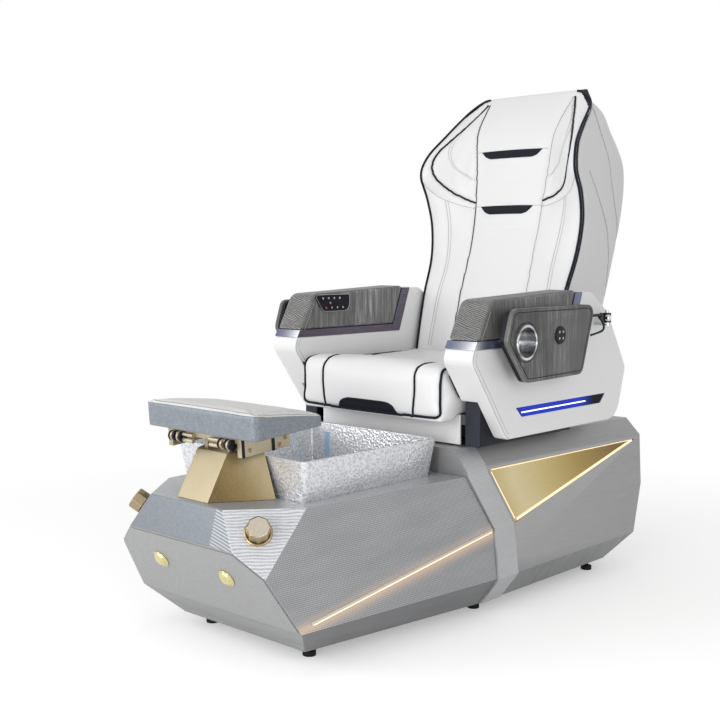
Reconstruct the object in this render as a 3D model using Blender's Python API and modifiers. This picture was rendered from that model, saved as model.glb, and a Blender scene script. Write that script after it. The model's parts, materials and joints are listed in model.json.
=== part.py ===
"""Pedicure chair: a faceted foot-bath base that carries a sliding, reclining seat.

Metres, +Z up. The sitter faces -Y, so the sitter's left hand is on the +X side.
The origin is on the floor, below the middle of the bounding box.
"""
import itertools
import math

import bmesh
import bpy
from mathutils import Matrix, Vector

# Fits
SEAT_GAP = 0.0003
RUN_GAP = 0.0005
SLIDE_GAP = 0.004
RIM_CLEAR = 0.004
CUT_SPARE = 0.010

# Base hull: heights
FLOOR_GAP = 0.030
BEVEL_RISE = 0.074
FRONT_DECK_Z = 0.372
NOSE_EDGE_DROP = 0.082
SIDE_TOP_RISE = 0.018
SEAM_KINK_DROP = 0.143
REAR_FOLD_DROP = 0.145
REAR_DECK_RISE = 0.050

# Base hull: lengths along Y
BASE_LENGTH = 1.480
NOSE_TOP_BACK = 0.022
NOSE_LOW_BACK = 0.111
NOSE_BOTTOM_BACK = 0.186
DECK_CORNER_BACK = 0.164
SEAM_TOP_Y = -0.062
SEAM_DECK_LEAN = 0.0147
SEAM_KINK_BACK = 0.0775
SEAM_FOOT_FRONT = 0.0095
TAIL_DECK_BACK = 0.020
TAIL_LOW_BACK = 0.050
TAIL_BOTTOM_BACK = 0.130
COLLAR_LENGTH = 0.084
SEAM_SPARE = 0.020

# Base hull: half-widths
NOSE_TOP_HALF = 0.128
NOSE_EDGE_HALF = 0.184
NOSE_LOW_HALF = 0.285
NOSE_BOTTOM_HALF = 0.216
DECK_CORNER_HALF = 0.247
SEAM_LOW_HALF = 0.340
SEAM_BOTTOM_HALF = 0.285
TAIL_TOP_HALF = 0.325
TAIL_LOW_HALF = 0.340
TAIL_BOTTOM_HALF = 0.285
SEAM_DECK_INSET = 0.030
TAIL_DECK_INSET = 0.035
HULL_WALL = 0.006
COLLAR_RISE = 0.006

# Base frame and feet
TUBE = 0.040
FRAME_LIFT = 0.008
RAIL_HALF_TRACK = 0.160
FRAME_FRONT_BACK = 0.240
FRAME_TAIL_BACK = 0.174
MID_BEAM_BEHIND_SEAM = 0.039
FRONT_FOOT_HALF = 0.175
MID_FOOT_HALF = 0.236
REAR_FOOT_HALF = 0.256
FOOT_RADIUS = 0.016
FOOT_PAD_HEIGHT = 0.012
FOOT_STEM_RADIUS = 0.006
POST_BEHIND_BEAM = 0.065
REAR_POST_BEFORE_BEAM = 0.066

# Foot bath
BOWL_FRONT_BACK = 0.177
BOWL_TO_SEAM = 0.012
BOWL_RIM_RISE = 0.096
BOWL_RIM_HALF = 0.226
BOWL_DEPTH = 0.316
BOWL_WALL = 0.008
BOWL_SIDE_TAPER = 0.050
BOWL_END_TAPER = 0.040
BOWL_CORNER = 0.012
DRAIN_RADIUS = 0.030
DRAIN_HEIGHT = 0.004
DRAIN_TAIL_RADIUS = 0.021
DRAIN_TAIL = 0.045
JET_RADIUS = 0.055
JET_FACE_RADIUS = 0.044
JET_HEIGHT = 0.022
JET_DROP = 0.198

# Front panel, valve knobs and lights of the base
PANEL_INSET = 0.005
PANEL_THICKNESS = 0.003
KNOB_FLANGE_RADIUS = 0.030
KNOB_FLANGE_HEIGHT = 0.010
KNOB_RADIUS = 0.024
KNOB_SHOULDER = 0.002
KNOB_HEIGHT = 0.034
KNOB_CHAMFER = 0.008
KNOB_ALONG = 0.50
KNOB_DOWN = 0.42
LIGHT_WIDTH = 0.008
LIGHT_THICKNESS = 0.004
SIDE_LIGHT_FRONT_UP = 0.018
SIDE_LIGHT_REAR_UP = 0.1226
SIDE_LIGHT_FRONT_BACK = 0.030
SIDE_LIGHT_REAR_BACK = 0.010
RECESS_MARGIN = 0.010
RECESS_TAIL = 0.030
RECESS_HEIGHT = 0.149
RECESS_THICKNESS = 0.003

# Pedestal and footrest
PEDESTAL_HALF = 0.054
PEDESTAL_FRONT_BACK = 0.041
PEDESTAL_LEAN = 0.060
PEDESTAL_FLARE = 0.084
PEDESTAL_HEIGHT = 0.106
PEDESTAL_WALL = 0.005
FOOT_PIN_RISE = 0.0217
FOOT_PIN_BACK = 0.128
FOOT_PIN_RADIUS = 0.006
FOOT_EAR_RADIUS = 0.013
FOOT_EAR_THICKNESS = 0.010
FOOT_EAR_HALF = 0.044
PIN_SHORT = 0.001
FOOT_TILT_DEGREES = 4.3
FOOT_FRAME_BAR = 0.014
FOOT_FRAME_HALF = 0.130
FOOT_PLATE_DEPTH = 0.045
FOOT_PLATE_BEHIND_PIN = 0.097
FOOT_PAD_HALF = 0.195
FOOT_PAD_BEFORE_PIN = 0.065
FOOT_PAD_LENGTH = 0.212
FOOT_PAD_RISE = 0.0275
FOOT_PAD_FRONT_THICKNESS = 0.063
FOOT_PAD_REAR_THICKNESS = 0.025
FOOT_PAD_ROUND = 0.007
FOOT_PAD_CORNER = 0.018

# Seat carriage
SLIDE_TRAVEL = 0.120
RAIL_HALF_SPAN = 0.150
RAIL_WIDTH = 0.030
RAIL_SPARE = 0.050
RAIL_FRONT_CLEAR = 0.014
CARRIAGE_RISE = 0.082
CARRIAGE_PLATE = 0.026
CARRIAGE_FRONT_Y = -0.024
CARRIAGE_BEHIND_HINGE = 0.040
CHEEK_THICKNESS = 0.012
CHEEK_FRONT_BACK = 0.054
CHEEK_BEFORE_HINGE = 0.010
SCREW_RADIUS = 0.008
SCREW_BEFORE_NUT = 0.050
MOTOR_LENGTH = 0.130
MOTOR_HALF = 0.050
MOTOR_HEADROOM = 0.010
NUT_LENGTH = 0.040
NUT_FRONT_BACK = 0.184
NUT_HALF = 0.018

# Seat
SEAT_HALF = 0.248
SEAT_FRONT_Y = -0.110
SEAT_BEFORE_HINGE = 0.058
SEAT_THICKNESS = 0.118
SEAT_CROWN = 0.010
SEAT_ROUND = 0.034
SEAT_EDGE_DROP = 0.015
SEAT_FRONT_BOW = 0.006
SEAT_WAIST = 0.005
SEAT_TOP_INSET = 0.005
SEAT_CHANNEL_HALF = 0.155
CHANNEL_DEPTH = 0.006
APRON_INSET = 0.002
APRON_THICKNESS = 0.006
APRON_CLEAR = 0.004
BRACKET_INSET = 0.002
BRACKET_THICKNESS = 0.048
BRACKET_RISE = 0.038
BRACKET_LEAD = 0.012
BRACKET_LENGTH = 0.420
BRACKET_SLOPE = 0.070
BRACKET_ROUND = 0.004

# Back
HINGE_Y = 0.430
HINGE_RISE = 0.053
HINGE_ROD_RADIUS = 0.009
HINGE_EAR_INSET = 0.020
HINGE_EAR_THICKNESS = 0.018
HINGE_EAR_RADIUS = 0.017
SLEEVE_RADIUS = 0.016
SLEEVE_END_GAP = 0.027
BACK_LIFT = 0.031
BACK_HEIGHT = 0.804
BACK_SIDE_CLEAR = 0.005
BACK_FOOT_INSET = 0.004
SHOULDER_SWELL = 0.023
NECK_INSET = 0.032
CROWN_INSET = 0.055
HEAD_HALF_WIDTH = 0.185
PAD_THICKNESS = 0.050
PAD_EDGE = 0.016
PAD_CROWN = 0.008
PAD_EDGE_DROP = 0.006
PAD_SIDE_TUCK = 0.003
PAD_THIN_LENGTH = 0.160
PAD_TO_SHELL = 0.0009
BACK_SHELL_WALL = 0.008
SHELL_SIDE_TUCK = 0.010
SHELL_REAR_ROUND = 0.008
UPRIGHT_HALF_SPAN = 0.085
UPRIGHT_WIDTH = 0.030
UPRIGHT_DEPTH = 0.012
UPRIGHT_DROP = 0.260
UPRIGHT_LEAN = 0.174
BLOCK_HALF_HEIGHT = 0.014
BLOCK_INSET = 0.004

# Back profile: (share of the back's height, depth behind the hinge)
CENTRE_LINE = ((0.0, -0.046), (0.24, -0.002), (0.49, 0.060), (0.70, 0.090), (0.85, 0.110), (1.0, 0.198))
EDGE_LINE = ((0.0, -0.053), (0.24, -0.010), (0.39, 0.036), (0.515, 0.048), (0.615, 0.030), (0.70, 0.0),
             (0.775, 0.022), (0.85, 0.082), (0.94, 0.162), (1.0, 0.202))
REAR_LINE = ((0.0, 0.160), (0.14, 0.230), (0.365, 0.282), (0.615, 0.310), (0.765, 0.302), (0.91, 0.270),
             (1.0, 0.244))

# Armrests
ARM_CLEAR = 0.015
ARM_WIDTH = 0.090
ARM_FRONT_Y = -0.115
ARM_LENGTH = 0.715
ARM_KNEE_AHEAD = 0.011
ARM_KNEE_DROP = 0.030
ARM_FOOT_BACK = 0.137
ARM_HEEL_FRONT = 0.043
ARM_SHOULDER_FRONT = 0.100
ARM_DECK_CLEAR = 0.022
ARM_BODY_HEIGHT = 0.235
ARM_REAR_RISE = 0.144
ARM_SHOULDER_RISE = 0.070
ARM_BACK_LENGTH = 0.045
ARM_BACK_DROP = 0.006
TRIM_HEIGHT = 0.020
TRIM_BACK_WIDTH = 0.034
TRIM_PROUD = 0.001
CAP_HEIGHT = 0.135
CAP_LENGTH = 0.433
CAP_REAR_LEAN = 0.048
CAP_ROUND = 0.030
CAP_FRONT_LEAN = 0.070
CAP_TOP_FALL = 0.016
EDGE_ROUND = 0.008
ARM_EDGE_ROUND = 0.004
ARM_KNEE_ROUND = 0.032
ARM_FOOT_ROUND = 0.022
ARM_HEEL_ROUND = 0.060
ARM_REAR_ROUND = 0.030
ARM_LIGHT_DEPTH = 0.004
ARM_LIGHT_POCKET = 0.006
ARM_LIGHT_BACK = 0.039
ARM_LIGHT_LENGTH = 0.430
ARM_LIGHT_RISE = 0.052
ARM_LIGHT_HEIGHT = 0.026

# Trays
TRAY_CLEAR = 0.035
TRAY_THICKNESS = 0.025
TRAY_DROP = 0.036
TRAY_HEIGHT = 0.185
TRAY_AXIS_DROP = 0.031
TRAY_FRONT_BACK = 0.053
TRAY_LENGTH = 0.394
TRAY_NOSE_DROP = 0.0814
TRAY_NOSE_TOP = 0.026
TRAY_NOSE_FOOT = 0.085
TRAY_HEEL = 0.058
TRAY_HEEL_RISE = 0.004
TRAY_CORNER = 0.024
CUP_RADIUS = 0.039
CUP_BACK = 0.080
CUP_DROP = 0.084
CUP_DEPTH = 0.050
CUP_WALL = 0.0015
CUP_FLANGE = 0.003
CUP_FLANGE_WIDTH = 0.005
BOSS_RADIUS = 0.024
BOSS_EDGE = 0.002
BOSS_BACK = 0.147
BOSS_RISE = 0.011
BOSS_HEIGHT = 0.004
PIVOT_REACH = 0.032
PIVOT_BACK = 0.106
LUG_DROP = 0.023
LUG_THICKNESS = 0.008
LUG_RADIUS = 0.013
PIVOT_PIN_RADIUS = 0.005
EYE_RADIUS = 0.012
EYE_HEIGHT = 0.026
STRAP_HALF = 0.006
ELBOW_BACK = 0.0488
TRAY_ROD_RADIUS = 0.004
TRAY_ROD_LENGTH = 0.250
ROD_END_CLEAR = 0.002

# Keypad
KEYPAD_THICKNESS = 0.004
KEYPAD_BACK = 0.065
KEYPAD_LENGTH = 0.143
KEYPAD_DROP = 0.018
KEYPAD_HEIGHT = 0.049
KEYPAD_SLANT = 0.035
KEYPAD_TOP_CORNER = 0.007
KEYPAD_LOW_CORNER = 0.022
BUTTON_RADIUS = 0.0035
BUTTON_LENGTH = 0.0042
BUTTON_TRAVEL = 0.001
BUTTON_PITCH = 0.0225
BUTTON_ROW = 0.0135
BUTTON_LEAD = 0.033
BUTTON_SHIFT = 0.013

# Places that follow from the sizes
FRONT_Y = -BASE_LENGTH / 2
TAIL_Y = BASE_LENGTH / 2
SEAM_KINK_Y = SEAM_TOP_Y + SEAM_KINK_BACK
SEAM_KINK_Z = FRONT_DECK_Z - SEAM_KINK_DROP
SEAM_BOTTOM_Y = SEAM_KINK_Y - SEAM_FOOT_FRONT
BEVEL_Z = FLOOR_GAP + BEVEL_RISE
NOSE_EDGE_Z = FRONT_DECK_Z - NOSE_EDGE_DROP
SIDE_TOP_Z = FRONT_DECK_Z + SIDE_TOP_RISE
REAR_FOLD_Z = SIDE_TOP_Z - REAR_FOLD_DROP
REAR_DECK_Z = SIDE_TOP_Z + REAR_DECK_RISE
RECESS_TOP_Z = SIDE_TOP_Z - RECESS_MARGIN
RECESS_LOW_Z = RECESS_TOP_Z - RECESS_HEIGHT
FRAME_FRONT_Y = FRONT_Y + FRAME_FRONT_BACK
FRAME_REAR_Y = TAIL_Y - FRAME_TAIL_BACK
MID_BEAM_Y = SEAM_BOTTOM_Y + MID_BEAM_BEHIND_SEAM
POST_FRONT_Y = MID_BEAM_Y + POST_BEHIND_BEAM
POST_REAR_Y = FRAME_REAR_Y - REAR_POST_BEFORE_BEAM
BOWL_FRONT_Y = FRONT_Y + BOWL_FRONT_BACK
BOWL_RIM_Z = FRONT_DECK_Z + BOWL_RIM_RISE
BOWL_BOTTOM_Z = BOWL_RIM_Z - BOWL_DEPTH
JET_Z = BOWL_RIM_Z - JET_DROP
PEDESTAL_LOW_Z = FRONT_DECK_Z + SEAT_GAP
PEDESTAL_TOP_Z = PEDESTAL_LOW_Z + PEDESTAL_HEIGHT
FOOT_PIN_Y = FRONT_Y + FOOT_PIN_BACK
FOOT_PIN_Z = PEDESTAL_TOP_Z + FOOT_PIN_RISE
FOOT_PAD_FRONT_Y = FOOT_PIN_Y - FOOT_PAD_BEFORE_PIN
FOOT_PAD_REAR_Y = FOOT_PAD_FRONT_Y + FOOT_PAD_LENGTH
FOOT_PAD_BOTTOM_Z = FOOT_PIN_Z + FOOT_PAD_RISE
ARM_INNER = SEAT_HALF + ARM_CLEAR
ARM_OUTER = ARM_INNER + ARM_WIDTH
BRACKET_INNER = ARM_INNER + BRACKET_INSET
BRACKET_OUTER = BRACKET_INNER + BRACKET_THICKNESS
BRACKET_FRONT_Y = CARRIAGE_FRONT_Y - BRACKET_LEAD
CARRIAGE_TOP_Z = REAR_DECK_Z + CARRIAGE_RISE
BRACKET_TOP_Z = CARRIAGE_TOP_Z + BRACKET_RISE
CARRIAGE_REAR_Y = HINGE_Y + CARRIAGE_BEHIND_HINGE
PLATE_LOW_Z = CARRIAGE_TOP_Z - SEAT_GAP - CARRIAGE_PLATE
CHEEK_FRONT_Y = CARRIAGE_FRONT_Y + CHEEK_FRONT_BACK
CHEEK_REAR_Y = HINGE_Y - CHEEK_BEFORE_HINGE
RAIL_FRONT_Y = CARRIAGE_FRONT_Y + SLIDE_TRAVEL + RAIL_FRONT_CLEAR
RAIL_REAR_Y = CHEEK_REAR_Y + SLIDE_TRAVEL + RAIL_SPARE
NUT_FRONT_Y = CARRIAGE_FRONT_Y + NUT_FRONT_BACK
SCREW_Z = (REAR_DECK_Z + PLATE_LOW_Z) / 2
MOTOR_FRONT_Y = CARRIAGE_REAR_Y
SEAT_REAR_Y = HINGE_Y - SEAT_BEFORE_HINGE
HINGE_Z = CARRIAGE_TOP_Z + HINGE_RISE
HINGE_EAR_HALF = BRACKET_INNER - HINGE_EAR_INSET
SLEEVE_HALF = HINGE_EAR_HALF - HINGE_EAR_THICKNESS - SLEEVE_END_GAP
BACK_HALF_WIDTH = ARM_INNER - BACK_SIDE_CLEAR
BACK_BOTTOM_Z = HINGE_Z + BACK_LIFT
BACK_TOP_Z = BACK_BOTTOM_Z + BACK_HEIGHT
ARM_BOTTOM_Z = REAR_DECK_Z + ARM_DECK_CLEAR
ARM_TRIM_Z = ARM_BOTTOM_Z + ARM_BODY_HEIGHT
ARM_TOP_Z = ARM_TRIM_Z + CAP_HEIGHT
ARM_REAR_Y = ARM_FRONT_Y + ARM_LENGTH
CAP_REAR_Y = ARM_FRONT_Y + CAP_LENGTH
ARM_LIGHT_FRONT_Y = ARM_FRONT_Y + ARM_FOOT_BACK + ARM_LIGHT_BACK
ARM_LIGHT_REAR_Y = ARM_LIGHT_FRONT_Y + ARM_LIGHT_LENGTH
ARM_LIGHT_LOW_Z = ARM_BOTTOM_Z + ARM_LIGHT_RISE
ARM_LIGHT_HIGH_Z = ARM_LIGHT_LOW_Z + ARM_LIGHT_HEIGHT
TRAY_INNER = ARM_OUTER + TRAY_CLEAR
TRAY_OUTER = TRAY_INNER + TRAY_THICKNESS
TRAY_AXIS_X = (TRAY_INNER + TRAY_OUTER) / 2
TRAY_TOP_Z = ARM_TOP_Z - TRAY_DROP
TRAY_BOTTOM_Z = TRAY_TOP_Z - TRAY_HEIGHT
TRAY_AXIS_Z = TRAY_TOP_Z - TRAY_AXIS_DROP
TRAY_FRONT_Y = ARM_FRONT_Y + TRAY_FRONT_BACK
TRAY_REAR_Y = TRAY_FRONT_Y + TRAY_LENGTH
CUP_Y = TRAY_FRONT_Y + CUP_BACK
CUP_Z = TRAY_TOP_Z - CUP_DROP
BOSS_Y = CUP_Y + BOSS_BACK
BOSS_Z = CUP_Z + BOSS_RISE
ARM_PIVOT_X = ARM_OUTER + PIVOT_REACH
ARM_PIVOT_Y = TRAY_REAR_Y + PIVOT_BACK
LUG_Z = TRAY_AXIS_Z - LUG_DROP
KEYPAD_FRONT_Y = ARM_FRONT_Y + KEYPAD_BACK
KEYPAD_REAR_Y = KEYPAD_FRONT_Y + KEYPAD_LENGTH
KEYPAD_TOP_Z = ARM_TOP_Z - KEYPAD_DROP
KEYPAD_BOTTOM_Z = KEYPAD_TOP_Z - KEYPAD_HEIGHT

# Counts
ROUND_SEGMENTS = 20
SEAT_GRID = (19, 17, 3)
PAD_GRID = (19, 1, 23)
SHELL_GRID = (19, 3, 23)
PANEL_COLUMN = 5
HEAD_SEAM_ROWS = (14, 19)
CAP_ROUND_STEPS = 4
STOP_BUTTON = 6

for leftover in list(bpy.data.objects):
    bpy.data.objects.remove(leftover, do_unlink=True)

PARTS = bpy.data.collections.new("pedicure_chair")
bpy.context.scene.collection.children.link(PARTS)


def material(name, color, roughness, metallic=0.0):
    """A plain Principled finish."""
    finish = bpy.data.materials.new(name)
    finish.use_nodes = True
    shader = finish.node_tree.nodes["Principled BSDF"]
    shader.inputs["Base Color"].default_value = (*color, 1.0)
    shader.inputs["Roughness"].default_value = roughness
    shader.inputs["Metallic"].default_value = metallic
    return finish


LEATHER = material("white_leather", (0.86, 0.86, 0.86), 0.45)
WHITE_SHELL = material("white_shell", (0.84, 0.84, 0.84), 0.35)
WOVEN_SILVER = material("woven_silver", (0.52, 0.53, 0.55), 0.35, 0.4)
PANEL_GREY = material("panel_grey", (0.60, 0.61, 0.62), 0.4, 0.2)
GOLD = material("champagne_gold", (0.76, 0.62, 0.36), 0.3, 0.9)
STEEL = material("painted_steel", (0.30, 0.31, 0.33), 0.5, 0.6)
BLACK = material("black_plastic", (0.03, 0.03, 0.035), 0.6)
WOOD = material("grey_wood", (0.28, 0.27, 0.26), 0.5)
CHROME = material("chrome", (0.75, 0.76, 0.78), 0.1, 1.0)
TRIM = material("satin_trim", (0.42, 0.43, 0.52), 0.25, 0.8)
GLASS = material("hammered_bowl", (0.72, 0.75, 0.78), 0.2, 0.3)
WARM_LIGHT = material("warm_light", (1.0, 0.86, 0.66), 0.4)
BLUE_LIGHT = material("blue_light", (0.08, 0.16, 0.85), 0.4)
PAD_GREY = material("pad_grey", (0.45, 0.48, 0.53), 0.5)
RED = material("red_button", (0.75, 0.06, 0.08), 0.5)
SILVER_BUTTON = material("silver_button", (0.75, 0.76, 0.78), 0.4, 0.3)


def keep(mesh_or_bm, name, finish):
    """Put a mesh into the collection as a named part."""
    mesh = mesh_or_bm
    if isinstance(mesh_or_bm, bmesh.types.BMesh):
        mesh = bpy.data.meshes.new(name)
        mesh_or_bm.normal_update()
        mesh_or_bm.to_mesh(mesh)
        mesh_or_bm.free()
    mesh.materials.clear()
    mesh.materials.append(finish)
    mesh.shade_smooth()
    mesh.set_sharp_from_angle(angle=math.radians(35))
    part = bpy.data.objects.new(name, mesh)
    PARTS.objects.link(part)
    return part


def settle(part):
    """Replace a part's mesh by its evaluated shape and drop its modifiers."""
    bpy.context.view_layer.update()
    evaluated = part.evaluated_get(bpy.context.evaluated_depsgraph_get())
    mesh = bpy.data.meshes.new_from_object(evaluated)
    old = part.data
    part.modifiers.clear()
    part.data = mesh
    mesh.name = part.name
    bpy.data.meshes.remove(old)
    return part


def combine(part, other, operation):
    """Boolean of two parts; the second one is used up."""
    cut = part.modifiers.new(operation.lower(), "BOOLEAN")
    cut.operation = operation
    cut.object = other
    settle(part)
    bpy.data.objects.remove(other, do_unlink=True)
    return part


def cut_away(part, *others):
    """Cut other parts out of a part."""
    for other in others:
        combine(part, other, "DIFFERENCE")
    return part


def join_to(part, *others):
    """Weld other parts onto a part."""
    for other in others:
        combine(part, other, "UNION")
    return part


def round_edges(part, width, segments=2, angle=30):
    """Bevel the sharp outer edges of a part; inner corners stay sharp."""
    bm = bmesh.new()
    bm.from_mesh(part.data)
    weight = bm.edges.layers.float.new("bevel_weight_edge")
    for edge in bm.edges:
        if edge.calc_face_angle_signed(0.0) > math.radians(angle):
            edge[weight] = 1.0
    bm.to_mesh(part.data)
    bm.free()
    bevel = part.modifiers.new("rounding", "BEVEL")
    bevel.width = width
    bevel.segments = segments
    bevel.limit_method = "WEIGHT"
    return settle(part)


def box(name, low, high, finish):
    """An upright box between two corners."""
    bm = bmesh.new()
    bmesh.ops.create_cube(bm, size=1.0)
    low = Vector(low)
    high = Vector(high)
    size = high - low
    middle = (low + high) / 2
    bmesh.ops.scale(bm, vec=size, verts=bm.verts)
    bmesh.ops.translate(bm, vec=middle, verts=bm.verts)
    return keep(bm, name, finish)


def rod(name, start, end, radius, finish, segments=ROUND_SEGMENTS, end_radius=None):
    """A round bar, or a cone, between two points."""
    start = Vector(start)
    end = Vector(end)
    span = end - start
    top_radius = radius if end_radius is None else end_radius
    bm = bmesh.new()
    bmesh.ops.create_cone(bm, cap_ends=True, segments=segments, radius1=radius, radius2=top_radius,
                          depth=span.length)
    turn = Vector((0, 0, 1)).rotation_difference(span.normalized()).to_matrix().to_4x4()
    bmesh.ops.transform(bm, matrix=Matrix.Translation((start + end) / 2) @ turn, verts=bm.verts)
    return keep(bm, name, finish)


def hull(name, points, finish):
    """The flat-sided body around a set of corner points."""
    bm = bmesh.new()
    for point in points:
        bm.verts.new(point)
    found = bmesh.ops.convex_hull(bm, input=bm.verts)
    loose = [item for item in found["geom_interior"] if isinstance(item, bmesh.types.BMVert)]
    bmesh.ops.delete(bm, geom=loose, context="VERTS")
    bmesh.ops.remove_doubles(bm, verts=bm.verts, dist=0.00001)
    bmesh.ops.dissolve_limit(bm, angle_limit=math.radians(0.5), verts=bm.verts, edges=bm.edges)
    bmesh.ops.recalc_face_normals(bm, faces=bm.faces)
    return keep(bm, name, finish)


def ring(centre, normal, radius, count=8):
    """Evenly spaced points around an axis."""
    turn = Vector((0, 0, 1)).rotation_difference(normal)
    points = []
    for step in range(count):
        angle = 2 * math.pi * (step + 0.5) / count
        points.append(centre + turn @ Vector((radius * math.cos(angle), radius * math.sin(angle), 0)))
    return points


def both_sides(points):
    """Corner points of the left half, and their mirror images."""
    return [Vector(p) for p in points] + [Vector((-p[0], p[1], p[2])) for p in points]


def rounded(points, radii, steps=4):
    """Round the corners of a flat outline with arcs, one radius for each corner; 0 keeps a corner sharp."""
    result = []
    count = len(points)
    for index, (point, radius) in enumerate(zip(points, radii)):
        corner = Vector(point)
        if radius == 0:
            result.append(corner)
            continue
        before = (Vector(points[index - 1]) - corner).normalized()
        after = (Vector(points[(index + 1) % count]) - corner).normalized()
        half = before.angle(after) / 2
        reach = radius / math.tan(half)
        centre = corner + (before + after).normalized() * radius / math.sin(half)
        first = corner + before * reach - centre
        last = corner + after * reach - centre
        sweep = first.angle_signed(last)
        for step in range(steps + 1):
            turn = Matrix.Rotation(-sweep * step / steps, 2)
            result.append(centre + turn @ first)
    return result


def circle(centre, radius, count=12):
    """A ring of flat points."""
    turns = [2 * math.pi * step / count for step in range(count)]
    return [(centre[0] + radius * math.cos(t), centre[1] + radius * math.sin(t)) for t in turns]


def side_plate(name, outline, x_low, x_high, finish, holes=()):
    """A flat outline in (Y, Z), with holes if any, extruded along X."""
    curve = bpy.data.curves.new(name, "CURVE")
    curve.dimensions = "2D"
    curve.fill_mode = "BOTH"
    curve.extrude = (x_high - x_low) / 2
    for loop in (outline, *holes):
        spline = curve.splines.new("POLY")
        spline.points.add(len(loop) - 1)
        spline.use_cyclic_u = True
        for point, (y, z) in zip(spline.points, loop):
            point.co = (y, z, 0.0, 1.0)
    drawn = bpy.data.objects.new(name, curve)
    PARTS.objects.link(drawn)
    bpy.context.view_layer.update()
    mesh = bpy.data.meshes.new_from_object(drawn.evaluated_get(bpy.context.evaluated_depsgraph_get()))
    bpy.data.objects.remove(drawn, do_unlink=True)
    bm = bmesh.new()
    bm.from_mesh(mesh)
    bpy.data.meshes.remove(mesh)
    bmesh.ops.remove_doubles(bm, verts=bm.verts, dist=0.00001)
    turn = Matrix(((0, 0, 1, (x_low + x_high) / 2), (1, 0, 0, 0), (0, 1, 0, 0), (0, 0, 0, 1)))
    bmesh.ops.transform(bm, matrix=turn, verts=bm.verts)
    if not holes:
        bmesh.ops.dissolve_limit(bm, angle_limit=math.radians(0.5), verts=bm.verts, edges=bm.edges)
    bmesh.ops.recalc_face_normals(bm, faces=bm.faces)
    return keep(bm, name, finish)


def same(a, b):
    """Whether two grid coordinates are the same line of the grid."""
    return math.isclose(a, b, abs_tol=0.01)


def grid_box(name, cuts, shape, finish):
    """A cube cut into a grid along each axis, with shape(u, v, w) placing every corner."""
    bm = bmesh.new()
    bmesh.ops.create_cube(bm, size=2.0)
    for axis in range(3):
        along = [e for e in bm.edges if abs(e.verts[0].co[axis] - e.verts[1].co[axis]) > 1e-6]
        bmesh.ops.subdivide_edges(bm, edges=along, cuts=cuts[axis], use_grid_fill=True)
    for vert in bm.verts:
        vert.co = shape(*vert.co)
    bmesh.ops.triangulate(bm, faces=bm.faces, quad_method="SHORT_EDGE")
    return keep(bm, name, finish)


def mirrored(part, name):
    """The right-hand twin of a left-hand part."""
    mesh = part.data.copy()
    mesh.transform(Matrix.Scale(-1, 4, (1, 0, 0)))
    mesh.flip_normals()
    return keep(mesh, name, part.data.materials[0])


def pair(part):
    """Name a left-hand part and make its right-hand twin."""
    base_name = part.name
    part.name = base_name + "_left"
    return [part, mirrored(part, base_name + "_right")]


def pivot(name, place, parent=None):
    """An empty on a joint's axis."""
    empty = bpy.data.objects.new(name, None)
    PARTS.objects.link(empty)
    empty.location = place
    if parent is not None:
        empty.parent = parent
        bpy.context.view_layer.update()
        empty.matrix_parent_inverse = parent.matrix_world.inverted()
    bpy.context.view_layer.update()
    return empty


def carry(carrier, *parts):
    """Let parts follow a joint's empty, without moving them now."""
    for part in parts:
        part.parent = carrier
        part.matrix_parent_inverse = carrier.matrix_world.inverted()


def plane_of(a, b, c):
    """Unit normal of three points, and its distance from the origin."""
    normal = (b - a).cross(c - a).normalized()
    return normal, normal.dot(a)


def meet(*planes):
    """The point where three planes meet."""
    rows = Matrix([plane[0] for plane in planes])
    return rows.inverted() @ Vector([plane[1] for plane in planes])


def flat_bar(name, start, end, normal, width, thickness, lift, finish):
    """A straight flat bar that lies on a face, lifted off it along the normal."""
    start = Vector(start)
    end = Vector(end)
    along = (end - start).normalized()
    across = normal.cross(along) * width / 2
    corners = []
    for point in (start, end):
        for side in (-across, across):
            corners.append(point + side + normal * lift)
            corners.append(point + side + normal * (lift + thickness))
    return hull(name, corners, finish)


def face_plate(name, corners, normal, thickness, lift, finish):
    """A flat polygon plate that lies on a face, lifted off it along the normal."""
    points = [c + normal * lift for c in corners] + [c + normal * (lift + thickness) for c in corners]
    return hull(name, points, finish)


def shrink(corners, distance):
    """Corners of a flat convex polygon, moved in from its edges."""
    middle = sum(corners, Vector()) / len(corners)
    result = []
    count = len(corners)
    for index, corner in enumerate(corners):
        before = (corners[index - 1] - corner).normalized()
        after = (corners[(index + 1) % count] - corner).normalized()
        inward = (before + after).normalized()
        if inward.dot(middle - corner) < 0:
            inward = -inward
        half = before.angle(after) / 2
        result.append(corner + inward * distance / math.sin(half))
    return result


# Base hull corners
def seam_y(z):
    """The seam between the front and rear shells: it slants back to its kink, then stands upright."""
    if z > FRONT_DECK_Z:
        return SEAM_TOP_Y - SEAM_DECK_LEAN * (z - FRONT_DECK_Z) / (REAR_DECK_Z - FRONT_DECK_Z)
    if z > SEAM_KINK_Z:
        return SEAM_TOP_Y + SEAM_KINK_BACK * (FRONT_DECK_Z - z) / SEAM_KINK_DROP
    return SEAM_BOTTOM_Y + SEAM_FOOT_FRONT * (z - FLOOR_GAP) / (SEAM_KINK_Z - FLOOR_GAP)


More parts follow.
